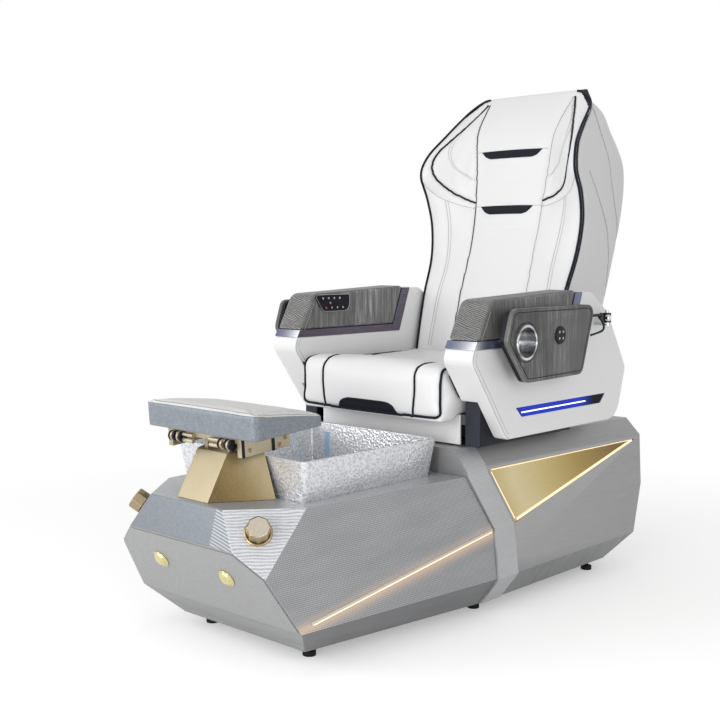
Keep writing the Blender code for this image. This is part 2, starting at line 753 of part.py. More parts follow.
NOSE_TOP = Vector((NOSE_TOP_HALF, FRONT_Y + NOSE_TOP_BACK, FRONT_DECK_Z))
NOSE_EDGE = Vector((NOSE_EDGE_HALF, FRONT_Y, NOSE_EDGE_Z))
NOSE_LOW = Vector((NOSE_LOW_HALF, FRONT_Y + NOSE_LOW_BACK, BEVEL_Z))
NOSE_BOTTOM = Vector((NOSE_BOTTOM_HALF, FRONT_Y + NOSE_BOTTOM_BACK, FLOOR_GAP))
DECK_CORNER = Vector((DECK_CORNER_HALF, FRONT_Y + DECK_CORNER_BACK, FRONT_DECK_Z))
SEAM_LOW = Vector((SEAM_LOW_HALF, seam_y(BEVEL_Z), BEVEL_Z))
SEAM_BOTTOM = Vector((SEAM_BOTTOM_HALF, seam_y(FLOOR_GAP), FLOOR_GAP))
ACROSS = Vector((1, 0, 0))
FRONT_PLANE = plane_of(NOSE_EDGE, NOSE_LOW, NOSE_EDGE - ACROSS)
CORNER_PLANE = plane_of(NOSE_TOP, NOSE_EDGE, DECK_CORNER)
SIDE_PLANE = plane_of(DECK_CORNER, NOSE_LOW, SEAM_LOW)
CORNER_TIP = meet(FRONT_PLANE, CORNER_PLANE, SIDE_PLANE)


def on_side(y, z):
    """A point of the front side panel."""
    normal, distance = SIDE_PLANE
    return Vector(((distance - normal.y * y - normal.z * z) / normal.x, y, z))


SEAM_TOP = on_side(seam_y(FRONT_DECK_Z), FRONT_DECK_Z)
SEAM_KINK = on_side(SEAM_KINK_Y, SEAM_KINK_Z)
SEAM_SIDE_TOP = on_side(seam_y(SIDE_TOP_Z), SIDE_TOP_Z)
SEAM_DECK = Vector((SEAM_SIDE_TOP.x - SEAM_DECK_INSET, seam_y(REAR_DECK_Z), REAR_DECK_Z))
TAIL_TOP = Vector((TAIL_TOP_HALF, TAIL_Y, SIDE_TOP_Z))
TAIL_LOW = Vector((TAIL_LOW_HALF, TAIL_Y - TAIL_LOW_BACK, BEVEL_Z))
TAIL_BOTTOM = Vector((TAIL_BOTTOM_HALF, TAIL_Y - TAIL_BOTTOM_BACK, FLOOR_GAP))
TAIL_DECK = Vector((TAIL_TOP_HALF - TAIL_DECK_INSET, TAIL_Y - TAIL_DECK_BACK, REAR_DECK_Z))
FOLD_SHARE = (SIDE_TOP_Z - REAR_FOLD_Z) / (SIDE_TOP_Z - BEVEL_Z)
TAIL_FOLD = Vector((TAIL_TOP.x + (TAIL_LOW.x - TAIL_TOP.x) * FOLD_SHARE, TAIL_Y, REAR_FOLD_Z))
AHEAD = Vector((0, -SEAM_SPARE, 0))
REAR_UPPER_PLANE = plane_of(SEAM_SIDE_TOP + AHEAD, SEAM_LOW + AHEAD, TAIL_TOP)


def outward(plane):
    """A side plane's normal, turned to point away from the middle of the base."""
    return plane[0] if plane[0].x > 0 else -plane[0]


def hollow_of(part, openings, wall):
    """The inside of a flat-sided body: its faces moved in by a wall, or out where it is open."""
    planes = []
    for face in part.data.polygons:
        normal = face.normal.copy()
        is_open = any(normal.dot(direction) > 0.9 for direction in openings)
        move = wall if is_open else -wall
        planes.append((normal, normal.dot(part.data.vertices[face.vertices[0]].co) + move))
    corners = []
    for three in itertools.combinations(planes, 3):
        if abs(three[0][0].cross(three[1][0]).dot(three[2][0])) < 1e-4:
            continue
        corner = meet(*three)
        if all(normal.dot(corner) < distance + 1e-6 for normal, distance in planes):
            corners.append(corner)
    return hull("hollow", corners, part.data.materials[0])


DOWN = Vector((0, 0, -1))
SEAM_NORMAL = plane_of(SEAM_DECK, SEAM_LOW, SEAM_LOW - ACROSS)[0]
TO_REAR = SEAM_NORMAL if SEAM_NORMAL.y > 0 else -SEAM_NORMAL


# Foot bath
BOWL_REAR_Y = seam_y(BOWL_RIM_Z) - BOWL_TO_SEAM


def bowl_body(name, grow, bottom_z, top_z):
    """A tapered tub with rounded upright edges, grown or shrunk by an even margin."""
    share = (top_z - BOWL_RIM_Z) / BOWL_DEPTH
    low_share = (bottom_z - BOWL_RIM_Z) / BOWL_DEPTH

    def level(z, part_share):
        half = BOWL_RIM_HALF + BOWL_SIDE_TAPER * part_share + grow
        front = BOWL_FRONT_Y - BOWL_END_TAPER * part_share - grow
        rear = BOWL_REAR_Y + BOWL_END_TAPER * part_share + grow
        corners = [Vector((half, front)), Vector((half, rear)), Vector((-half, rear)), Vector((-half, front))]
        radii = [BOWL_CORNER + grow] * len(corners)
        return [Vector((p.x, p.y, z)) for p in rounded(corners, radii)]

    return hull(name, level(top_z, share) + level(bottom_z, low_share), GLASS)


def make_bowl():
    """The tub of the foot bath, its drain, and the jet's cap on the front wall."""
    bowl = bowl_body("bowl", 0.0, BOWL_BOTTOM_Z, BOWL_RIM_Z)
    cavity = bowl_body("bowl_cavity", -BOWL_WALL, BOWL_BOTTOM_Z + BOWL_WALL, BOWL_RIM_Z + BOWL_WALL)
    middle_y = (BOWL_FRONT_Y + BOWL_REAR_Y) / 2
    hole = rod("drain_hole", (0, middle_y, BOWL_BOTTOM_Z - BOWL_WALL),
               (0, middle_y, BOWL_BOTTOM_Z + 2 * BOWL_WALL), DRAIN_TAIL_RADIUS + RUN_GAP, GLASS)
    cut_away(bowl, cavity, hole)
    floor_z = BOWL_BOTTOM_Z + BOWL_WALL + SEAT_GAP
    drain = rod("drain", (0, middle_y, floor_z), (0, middle_y, floor_z + DRAIN_HEIGHT), DRAIN_RADIUS, CHROME)
    tail = rod("drain_tail", (0, middle_y, floor_z - DRAIN_TAIL), (0, middle_y, floor_z + DRAIN_HEIGHT / 2),
               DRAIN_TAIL_RADIUS, CHROME)
    join_to(drain, tail)
    drop = BOWL_RIM_Z - JET_Z
    slope = BOWL_END_TAPER / BOWL_DEPTH
    wall_y = BOWL_FRONT_Y + slope * drop + BOWL_WALL * math.hypot(1, slope)
    normal = Vector((0, 1, slope)).normalized()
    foot = Vector((0, wall_y, JET_Z)) + normal * SEAT_GAP
    jet = rod("jet_cap", foot, foot + normal * JET_HEIGHT, JET_RADIUS, WHITE_SHELL,
              end_radius=JET_FACE_RADIUS)
    return bowl, drain, jet


def make_front_shell():
    """The nose of the base: a faceted moulding, open below and towards the rear shell."""
    half = [NOSE_TOP, NOSE_EDGE, CORNER_TIP, NOSE_LOW, NOSE_BOTTOM]
    half += [DECK_CORNER, SEAM_TOP, SEAM_KINK, SEAM_LOW, SEAM_BOTTOM]
    shell = hull("front_shell", both_sides(half), WOVEN_SILVER)
    cut_away(shell, hollow_of(shell, [DOWN, TO_REAR], HULL_WALL))
    hole = bowl_body("bowl_hole", RUN_GAP, FRONT_DECK_Z - HULL_WALL - CUT_SPARE, FRONT_DECK_Z + CUT_SPARE)
    return cut_away(shell, hole)


def make_rear_shell():
    """The tail of the base: deck, raised collar at the seam, and a pocket on each side."""
    gap = Vector((0, SEAT_GAP * 2, 0))
    seam = [SEAM_DECK, SEAM_SIDE_TOP, SEAM_LOW, SEAM_BOTTOM]
    tail = [TAIL_TOP, TAIL_FOLD, TAIL_LOW, TAIL_BOTTOM, TAIL_DECK]
    body = hull("body", both_sides([corner + gap for corner in seam] + tail), WOVEN_SILVER)
    inside = hollow_of(body, [DOWN], HULL_WALL)
    bpy.data.objects.remove(body)
    shell = hull("rear_shell", both_sides([corner + AHEAD for corner in seam] + tail), WOVEN_SILVER)
    deck_level = on_rear_side(SEAM_TOP_Y, FRONT_DECK_Z)
    kink = on_rear_side(SEAM_KINK_Y, SEAM_KINK_Z)
    rise = Vector((COLLAR_RISE, 0, 0))
    length = Vector((0, COLLAR_LENGTH, 0))
    stretches = ((SEAM_DECK, SEAM_SIDE_TOP, deck_level), (deck_level, kink), (kink, SEAM_LOW, SEAM_BOTTOM))
    for stations in stretches:
        collar = []
        for corner in stations:
            collar += [corner + rise + AHEAD, corner + rise + length]
        join_to(shell, hull("collar", both_sides(collar), WOVEN_SILVER))
    cut_away(shell, inside, nose_room(FLOOR_GAP - CUT_SPARE, SEAM_KINK_Z, FRONT_DECK_Z),
             nose_room(FRONT_DECK_Z - CUT_SPARE / 2, FRONT_DECK_Z, REAR_DECK_Z + CUT_SPARE))
    way_half = SEAM_BOTTOM_HALF - 4 * HULL_WALL
    way = box("frame_way", (-way_half, SEAM_TOP_Y - TUBE, 0),
              (way_half, SEAM_BOTTOM_Y + TUBE, FRONT_DECK_Z - TUBE), STEEL)
    cut_away(shell, way)
    normal = outward(REAR_UPPER_PLANE)
    for side in (1, -1):
        corners = [Vector((side * c.x, c.y, c.z)) for c in recess_corners()]
        facing = Vector((side * normal.x, normal.y, normal.z))
        pocket = face_plate("pocket", corners, facing, 4 * HULL_WALL, -2 * HULL_WALL, GOLD)
        cut_away(shell, pocket)
    return shell


def nose_room(low_z, middle_z, high_z):
    """The room ahead of the seam between some levels, kept free for the front shell."""
    reach = SEAM_LOW_HALF + COLLAR_RISE + CUT_SPARE
    front_y = SEAM_DECK.y - SEAM_SPARE - CUT_SPARE
    corners = []
    for z in (low_z, middle_z, high_z):
        rear_y = level_seam(z, high_z) + SEAT_GAP * 2
        corners += [(side * reach, y, z) for side in (-1, 1) for y in (front_y, rear_y)]
    return hull("nose_room", corners, WOVEN_SILVER)


def level_seam(z, high_z):
    """The seam at a level, carried on straight past the ends of the upright or the upper stretch."""
    if high_z > FRONT_DECK_Z:
        return SEAM_TOP_Y - SEAM_DECK_LEAN * (z - FRONT_DECK_Z) / (REAR_DECK_Z - FRONT_DECK_Z)
    return seam_y(z)


def on_rear_side(y, z):
    """A point of the upper rear side face."""
    normal, distance = REAR_UPPER_PLANE
    return Vector(((distance - normal.y * y - normal.z * z) / normal.x, y, z))


def recess_corners():
    """The three corners of the gold pocket, inside its side face."""
    clear = COLLAR_LENGTH + RECESS_MARGIN
    return [on_rear_side(seam_y(RECESS_TOP_Z) + clear, RECESS_TOP_Z),
            on_rear_side(seam_y(RECESS_LOW_Z) + clear, RECESS_LOW_Z),
            on_rear_side(TAIL_Y - RECESS_TAIL, RECESS_TOP_Z)]


def make_recess_panel():
    """The gold plate set into a side pocket, level with the inside of the wall."""
    normal = outward(REAR_UPPER_PLANE)
    corners = shrink(recess_corners(), SEAT_GAP)
    return pair(face_plate("recess_panel", corners, normal, RECESS_THICKNESS, -HULL_WALL, GOLD))


def make_front_panel():
    """The service panel over the nose's front face."""
    corners = [NOSE_EDGE, CORNER_TIP, NOSE_LOW]
    corners += [Vector((-c.x, c.y, c.z)) for c in reversed(corners)]
    normal = FRONT_PLANE[0] if FRONT_PLANE[0].y < 0 else -FRONT_PLANE[0]
    inner = shrink(corners, PANEL_INSET)
    return face_plate("front_panel", inner, normal, PANEL_THICKNESS, SEAT_GAP, PANEL_GREY)


def knob_seat():
    """Where a valve knob stands on its corner facet, and which way it points."""
    upper = NOSE_TOP.lerp(DECK_CORNER, KNOB_ALONG)
    lower = NOSE_EDGE.lerp(CORNER_TIP, KNOB_ALONG)
    normal = outward(CORNER_PLANE)
    return upper.lerp(lower, KNOB_DOWN), normal


def make_valve_knob():
    """A faceted hand knob on a round flange."""
    foot, normal = knob_seat()
    start = foot + normal * SEAT_GAP
    shoulder = start + normal * KNOB_FLANGE_HEIGHT
    neck = shoulder + normal * (KNOB_HEIGHT - KNOB_CHAMFER)
    knob = rod("valve_knob", start, shoulder, KNOB_FLANGE_RADIUS, GOLD,
               end_radius=KNOB_RADIUS + KNOB_SHOULDER)
    corners = ring(shoulder - normal * KNOB_FLANGE_HEIGHT / 2, normal, KNOB_RADIUS)
    corners += ring(neck, normal, KNOB_RADIUS)
    corners += ring(neck + normal * KNOB_CHAMFER, normal, KNOB_RADIUS - KNOB_CHAMFER)
    return pair(join_to(knob, hull("knob_body", corners, GOLD)))


def make_side_light():
    """The slanted light bar on a front side panel."""
    front_y = NOSE_LOW.y + SIDE_LIGHT_FRONT_BACK
    start = on_side(front_y, BEVEL_Z + SIDE_LIGHT_FRONT_UP)
    rear_z = BEVEL_Z + SIDE_LIGHT_REAR_UP
    end = on_side(seam_y(rear_z) - SIDE_LIGHT_REAR_BACK, rear_z)
    normal = outward(SIDE_PLANE)
    bar = flat_bar("side_light", start, end, normal, LIGHT_WIDTH, LIGHT_THICKNESS, SEAT_GAP, WARM_LIGHT)
    return pair(bar)


# Base frame and feet
FRAME_LOW_Z = FLOOR_GAP + FRAME_LIFT
FRAME_HIGH_Z = FRAME_LOW_Z + TUBE


def make_base_frame():
    """Welded square tube: two long rails, three beams, and posts up to the deck."""
    low, high = FRAME_LOW_Z, FRAME_HIGH_Z
    half_tube = TUBE / 2
    front = FRAME_FRONT_Y - half_tube
    rear = FRAME_REAR_Y + half_tube
    frame = None
    for side in (-1, 1):
        x = side * RAIL_HALF_TRACK
        rail = box("base_frame" if side < 0 else "frame_rail", (x - half_tube, front, low),
                   (x + half_tube, rear, high), STEEL)
        frame = rail if frame is None else join_to(frame, rail)
    beams = ((FRAME_FRONT_Y, FRONT_FOOT_HALF), (MID_BEAM_Y, MID_FOOT_HALF), (FRAME_REAR_Y, REAR_FOOT_HALF))
    for y, half in beams:
        reach = half + half_tube
        join_to(frame, box("beam", (-reach, y - half_tube, low), (reach, y + half_tube, high), STEEL))
    deck_under = REAR_DECK_Z - HULL_WALL - SEAT_GAP
    for y in (POST_FRONT_Y, POST_REAR_Y):
        for side in (-1, 1):
            x = side * RAIL_HALF_TRACK
            join_to(frame, box("post", (x - half_tube, y - half_tube, high - half_tube),
                               (x + half_tube, y + half_tube, deck_under), STEEL))
    bowl_beam_top = BOWL_BOTTOM_Z - SEAT_GAP
    bowl_y = BOWL_FRONT_Y + BOWL_END_TAPER + 2 * TUBE
    for side in (-1, 1):
        x = side * (RAIL_HALF_TRACK - half_tube)
        join_to(frame, box("bowl_post", (x - half_tube, bowl_y - half_tube, low),
                           (x + half_tube, bowl_y + half_tube, bowl_beam_top), STEEL))
    return frame


def make_feet():
    """Six screw feet under the ends of the beams."""
    feet = []
    rows = (("front", FRAME_FRONT_Y, FRONT_FOOT_HALF), ("mid", MID_BEAM_Y, MID_FOOT_HALF),
            ("rear", FRAME_REAR_Y, REAR_FOOT_HALF))
    for row, y, half in rows:
        for side, label in ((1, "left"), (-1, "right")):
            x = side * half
            foot = rod(f"foot_{row}_{label}", (x, y, 0), (x, y, FOOT_PAD_HEIGHT), FOOT_RADIUS, BLACK, 16)
            stem = rod("stem", (x, y, FOOT_PAD_HEIGHT / 2), (x, y, FRAME_LOW_Z - SEAT_GAP), FOOT_STEM_RADIUS,
                       BLACK, 12)
            feet.append(join_to(foot, stem))
    return feet


# Pedestal and footrest
def make_pedestal():
    """The leaning cast post, flared to the rear, with two ears and a pin for the footrest."""
    rear_y = BOWL_FRONT_Y - RIM_CLEAR
    front_low = FRONT_Y + PEDESTAL_FRONT_BACK
    front_top = front_low + PEDESTAL_LEAN
    rear_half = PEDESTAL_HALF + PEDESTAL_FLARE
    rear_top_half = PEDESTAL_HALF + PEDESTAL_FLARE * (rear_y - front_top) / (rear_y - front_low)
    corners = []
    for side in (-1, 1):
        front_x = side * PEDESTAL_HALF
        corners += [(front_x, front_low, PEDESTAL_LOW_Z), (side * rear_half, rear_y, PEDESTAL_LOW_Z)]
        corners += [(front_x, front_top, PEDESTAL_TOP_Z), (side * rear_top_half, rear_y, PEDESTAL_TOP_Z)]
    post = hull("pedestal", corners, GOLD)
    cut_away(post, hollow_of(post, [DOWN], PEDESTAL_WALL))
    for side in (-1, 1):
        inner = side * (FOOT_EAR_HALF - FOOT_EAR_THICKNESS)
        outer = side * FOOT_EAR_HALF
        low, high = min(inner, outer), max(inner, outer)
        ear = rod("ear", (low, FOOT_PIN_Y, FOOT_PIN_Z), (high, FOOT_PIN_Y, FOOT_PIN_Z), FOOT_EAR_RADIUS, GOLD)
        web = box("web", (low, FOOT_PIN_Y - FOOT_EAR_RADIUS, PEDESTAL_TOP_Z - PEDESTAL_WALL / 2),
                  (high, FOOT_PIN_Y + FOOT_EAR_RADIUS, FOOT_PIN_Z), GOLD)
        join_to(post, join_to(ear, web))
    reach = FOOT_EAR_HALF - PIN_SHORT
    pin = rod("pin", (-reach, FOOT_PIN_Y, FOOT_PIN_Z), (reach, FOOT_PIN_Y, FOOT_PIN_Z), FOOT_PIN_RADIUS, GOLD)
    return join_to(post, pin)


def make_footrest():
    """The tilting footrest: a carrier frame on the pin, and the pad on top of it."""
    top_z = FOOT_PAD_BOTTOM_Z - SEAT_GAP
    low_z = top_z - FOOT_FRAME_BAR
    front_y = FOOT_PAD_FRONT_Y + FOOT_FRAME_BAR
    rear_y = FOOT_PAD_REAR_Y - FOOT_FRAME_BAR
    sleeve_half = FOOT_EAR_HALF - FOOT_EAR_THICKNESS - RUN_GAP
    carrier = box("footrest_frame", (-FOOT_FRAME_HALF, front_y, low_z),
                  (FOOT_FRAME_HALF, front_y + FOOT_FRAME_BAR, top_z), GOLD)
    join_to(carrier, box("rear_bar", (-FOOT_FRAME_HALF, rear_y - FOOT_FRAME_BAR, low_z),
                         (FOOT_FRAME_HALF, rear_y, top_z), GOLD))
    for side in (-1, 1):
        edge = side * FOOT_FRAME_HALF
        inner = edge - side * FOOT_FRAME_BAR
        low_x, high_x = min(edge, inner), max(edge, inner)
        join_to(carrier, box("side_bar", (low_x, front_y, low_z), (high_x, rear_y, top_z), GOLD))
        join_to(carrier, box("side_plate", (low_x, front_y, top_z - FOOT_PLATE_DEPTH),
                             (high_x, FOOT_PIN_Y + FOOT_PLATE_BEHIND_PIN, top_z), GOLD))
    spine_z = (low_z + top_z) / 2
    join_to(carrier, box("spine", (-sleeve_half, front_y, spine_z), (sleeve_half, rear_y, top_z), GOLD))
    join_to(carrier, rod("sleeve", (-sleeve_half, FOOT_PIN_Y, FOOT_PIN_Z),
                         (sleeve_half, FOOT_PIN_Y, FOOT_PIN_Z), FOOT_EAR_RADIUS, GOLD))
    join_to(carrier, box("sleeve_web", (-sleeve_half, FOOT_PIN_Y - FOOT_EAR_RADIUS, FOOT_PIN_Z),
                         (sleeve_half, FOOT_PIN_Y + FOOT_EAR_RADIUS, top_z), GOLD))
    cut_away(carrier, rod("bore", (-FOOT_EAR_HALF, FOOT_PIN_Y, FOOT_PIN_Z),
                          (FOOT_EAR_HALF, FOOT_PIN_Y, FOOT_PIN_Z), FOOT_PIN_RADIUS + RUN_GAP, GOLD))
    plan = [Vector((FOOT_PAD_HALF, FOOT_PAD_FRONT_Y)), Vector((FOOT_PAD_HALF, FOOT_PAD_REAR_Y)),
            Vector((-FOOT_PAD_HALF, FOOT_PAD_REAR_Y)), Vector((-FOOT_PAD_HALF, FOOT_PAD_FRONT_Y))]
    corners = []
    for point in rounded(plan, [FOOT_PAD_CORNER] * len(plan), 3):
        share = (point.y - FOOT_PAD_FRONT_Y) / FOOT_PAD_LENGTH
        taper = FOOT_PAD_FRONT_THICKNESS - FOOT_PAD_REAR_THICKNESS
        thickness = FOOT_PAD_FRONT_THICKNESS - taper * share
        corners.append((point.x, point.y, FOOT_PAD_BOTTOM_Z))
        corners.append((point.x, point.y, FOOT_PAD_BOTTOM_Z + thickness))
    pad = round_edges(hull("footrest_pad", corners, PAD_GREY), FOOT_PAD_ROUND, 2, 40)
    to_pin = Matrix.Translation((0, FOOT_PIN_Y, FOOT_PIN_Z))
    tilt = to_pin @ Matrix.Rotation(math.radians(FOOT_TILT_DEGREES), 4, "X") @ to_pin.inverted()
    for piece in (carrier, pad):
        piece.data.transform(tilt)
    return carrier, pad


# Seat carriage
def make_slide():
    """Two rails and a screw motor, fixed to the deck."""
    deck = REAR_DECK_Z + SEAT_GAP
    rail_top = PLATE_LOW_Z - SEAT_GAP
    left = box("slide_rail", (RAIL_HALF_SPAN - RAIL_WIDTH / 2, RAIL_FRONT_Y, deck),
               (RAIL_HALF_SPAN + RAIL_WIDTH / 2, RAIL_REAR_Y, rail_top), STEEL)
    rails = pair(left)
    motor = box("slide_motor", (-MOTOR_HALF, MOTOR_FRONT_Y, deck),
                (MOTOR_HALF, MOTOR_FRONT_Y + MOTOR_LENGTH, rail_top - MOTOR_HEADROOM), BLACK)
    screw = rod("screw", (0, NUT_FRONT_Y - SCREW_BEFORE_NUT, SCREW_Z),
                (0, MOTOR_FRONT_Y + MOTOR_LENGTH / 2, SCREW_Z), SCREW_RADIUS, STEEL, 16)
    join_to(motor, screw)
    return rails, motor


def make_carriage():
    """The seat's steel sledge: plate, rail cheeks, screw nut, and ears with the hinge rod."""
    half = BRACKET_INNER - SEAT_GAP
    top = CARRIAGE_TOP_Z - SEAT_GAP
    front = CARRIAGE_FRONT_Y + SEAT_GAP
    sledge = box("carriage", (-half, front, PLATE_LOW_Z), (half, CARRIAGE_REAR_Y, top), STEEL)
    cheek_low = REAR_DECK_Z + SLIDE_GAP
    overlap = CARRIAGE_PLATE / 3
    for side in (-1, 1):
        for edge in (-1, 1):
            near = side * RAIL_HALF_SPAN + edge * (RAIL_WIDTH / 2 + RUN_GAP)
            far = near + edge * CHEEK_THICKNESS
            join_to(sledge, box("cheek", (min(near, far), CHEEK_FRONT_Y, cheek_low),
                                (max(near, far), CHEEK_REAR_Y, PLATE_LOW_Z + overlap), STEEL))
        outer = side * HINGE_EAR_HALF
        inner = outer - side * HINGE_EAR_THICKNESS
        low, high = min(outer, inner), max(outer, inner)
        ear = box("ear", (low, HINGE_Y - HINGE_EAR_RADIUS, top - overlap),
                  (high, HINGE_Y + HINGE_EAR_RADIUS, HINGE_Z), STEEL)
        crown = rod("crown", (low, HINGE_Y, HINGE_Z), (high, HINGE_Y, HINGE_Z), HINGE_EAR_RADIUS, STEEL)
        join_to(sledge, join_to(ear, crown))
    nut = box("nut", (-NUT_HALF, NUT_FRONT_Y, SCREW_Z - SCREW_RADIUS - CHEEK_THICKNESS / 2),
              (NUT_HALF, NUT_FRONT_Y + NUT_LENGTH, PLATE_LOW_Z + overlap), STEEL)
    bore = rod("bore", (0, NUT_FRONT_Y - NUT_LENGTH, SCREW_Z), (0, NUT_FRONT_Y + 2 * NUT_LENGTH, SCREW_Z),
               SCREW_RADIUS + RUN_GAP, STEEL, 16)
    join_to(sledge, cut_away(nut, bore))
    reach = HINGE_EAR_HALF - PIN_SHORT
    hinge_rod = rod("hinge_rod", (-reach, HINGE_Y, HINGE_Z), (reach, HINGE_Y, HINGE_Z),
                    HINGE_ROD_RADIUS, STEEL)
    return join_to(sledge, hinge_rod)


def make_seat_cushion():
    """A crowned cushion with a rolled front edge, drawn-in sides and two sewn channels."""
    half_columns = (SEAT_GRID[0] + 1) / 2
    channel_u = round(SEAT_CHANNEL_HALF / SEAT_HALF * half_columns) / half_columns
    front_roll = 0.75

    def shape(u, v, w):
        height = (w + 1) / 2
        x = u * (SEAT_HALF - SEAT_WAIST * (1 - w * w) - SEAT_TOP_INSET * height)
        front = SEAT_FRONT_Y + SEAT_ROUND * height ** 3 - SEAT_FRONT_BOW * (1 - height) * (1 - u * u)
        y = front + (SEAT_REAR_Y - front) * (v + 1) / 2
        crown = SEAT_CROWN * (1 - u ** 4) * (1 - v ** 4)
        edge_drop = SEAT_EDGE_DROP * (max(0.0, -v - front_roll) / (1 - front_roll)) ** 2
        z = CARRIAGE_TOP_Z + height * (SEAT_THICKNESS + crown - edge_drop)
        if same(abs(u), channel_u):
            if same(w, 1):
                z -= CHANNEL_DEPTH
            elif same(v, -1) and not same(w, -1):
                y += CHANNEL_DEPTH
        return Vector((x, y, z))

    return grid_box("seat_cushion", SEAT_GRID, shape, LEATHER)


def make_seat_covers():
    """The apron below the cushion, and the black brackets that carry the armrests."""
    deck_clear = REAR_DECK_Z + APRON_CLEAR
    apron_half = SEAT_HALF - APRON_INSET
    apron = box("seat_apron", (-apron_half, CARRIAGE_FRONT_Y - APRON_THICKNESS, deck_clear),
                (apron_half, CARRIAGE_FRONT_Y, CARRIAGE_TOP_Z - SEAT_GAP), WHITE_SHELL)
    rear = BRACKET_FRONT_Y + BRACKET_LENGTH
    outline = [(BRACKET_FRONT_Y, deck_clear), (rear, deck_clear), (rear - BRACKET_SLOPE, BRACKET_TOP_Z),
               (BRACKET_FRONT_Y, BRACKET_TOP_Z)]
    bracket = side_plate("side_bracket", outline, BRACKET_INNER, BRACKET_OUTER, BLACK)
    return apron, pair(round_edges(bracket, BRACKET_ROUND))


# Back
def ease(share):
    """A smooth step from 0 to 1."""
    return share * share * (3 - 2 * share)


def blend_at(stations, share):
    """A softly rounded value through (share of height, value) stations."""
    if share <= stations[0][0]:
        return stations[0][1]
    for (start, first), (end, last) in zip(stations, stations[1:]):
        if share <= end:
            step = (share - start) / (end - start)
            return first + (last - first) * (0.4 * ease(step) + 0.6 * step)
    return stations[-1][1]


PANEL_CHANNEL = 2 * PANEL_COLUMN / (PAD_GRID[0] + 1)
SHOULDER_HALF = BACK_HALF_WIDTH + SHOULDER_SWELL
WIDTH_LINE = ((0.0, BACK_HALF_WIDTH - BACK_FOOT_INSET), (0.28, BACK_HALF_WIDTH), (0.70, SHOULDER_HALF),
              (0.85, SHOULDER_HALF - NECK_INSET), (0.94, SHOULDER_HALF - CROWN_INSET), (1.0, HEAD_HALF_WIDTH))


def back_share(z):
    """Height as a share of the back, 0 at its foot and 1 at its top."""
    return (z - BACK_BOTTOM_Z) / BACK_HEIGHT


def back_half_width(z):
    """Half the width of the back: straight between the armrests, swelling at the shoulders."""
    return blend_at(WIDTH_LINE, back_share(z))


def back_front(u, z):
    """Depth of the pad's front face across the back, before crowns and channels."""
    wing = ease(max(0.0, (abs(u) - PANEL_CHANNEL) / (1 - PANEL_CHANNEL)))
    centre = blend_at(CENTRE_LINE, back_share(z))
    edge = blend_at(EDGE_LINE, back_share(z))
    return HINGE_Y + centre + (edge - centre) * wing


def pad_rear(u, z):
    """Depth of the pad's rear face; the pad thins out towards its top."""
    thin = min(1.0, 0.25 + (BACK_TOP_Z - z) / PAD_THIN_LENGTH)
    return back_front(u, z) + (PAD_EDGE + (PAD_THICKNESS - PAD_EDGE) * (1 - abs(u) ** 3)) * thin


def back_height(w):
    """Height of a grid line, from -1 at the back's foot to 1 at its top."""
    return BACK_BOTTOM_Z + BACK_HEIGHT * (w + 1) / 2


def make_back_pad():
    """The padded front: three upright panels, with cross seams above and below the head."""
    row_step = 2 / (PAD_GRID[2] + 1)
    wing_middle = (1 + PANEL_CHANNEL) / 2
    wing_half = (1 - PANEL_CHANNEL) / 2

    def shape(u, v, w):
        z = back_height(w)
        x = u * (back_half_width(z) - PAD_SIDE_TUCK * (1 - v * v))
        if same(v, 1):
            return Vector((x, pad_rear(u, z), z))
        y = back_front(u, z)
        if not same(v, -1):
            return Vector((x, (y + pad_rear(u, z)) / 2, z))
        row = round((w + 1) / row_step)
        inside = min(1.0, (1 - abs(u)) * 6) * min(1.0, (1 - abs(w)) * 8)
        panel = 1 - (u / PANEL_CHANNEL) ** 2
        if abs(u) > PANEL_CHANNEL:
            panel = 1 - ((abs(u) - wing_middle) / wing_half) ** 2
        y += PAD_EDGE_DROP * (1 - inside) - PAD_CROWN * panel * inside
        on_head_seam = row in HEAD_SEAM_ROWS and abs(u) < PANEL_CHANNEL
        if same(abs(u), PANEL_CHANNEL) or on_head_seam:
            y += CHANNEL_DEPTH
        return Vector((x, y, z))

    return grid_box("back_pad", PAD_GRID, shape, LEATHER)


def make_back_shell():
    """The hollow rear of the back, open towards the pad and below, where the frame comes in."""
    def body(name, inset, front_push):
        def shape(u, v, w):
            z = back_height(w) - inset
            depth = (v + 1) / 2
            half = back_half_width(z + inset) - inset - SHELL_SIDE_TUCK * depth ** 4
            front = pad_rear(u, z) + PAD_TO_SHELL - front_push * (1 - depth)
            rear = HINGE_Y + blend_at(REAR_LINE, back_share(z)) - inset - SHELL_REAR_ROUND * u ** 6
            return Vector((half * u, front + (rear - front) * depth, z))
        return grid_box(name, SHELL_GRID, shape, LEATHER)

    shell = body("back_shell", 0.0, 0.0)
    hollow = body("hollow", BACK_SHELL_WALL, PAD_EDGE + CUT_SPARE)
    return cut_away(shell, hollow)


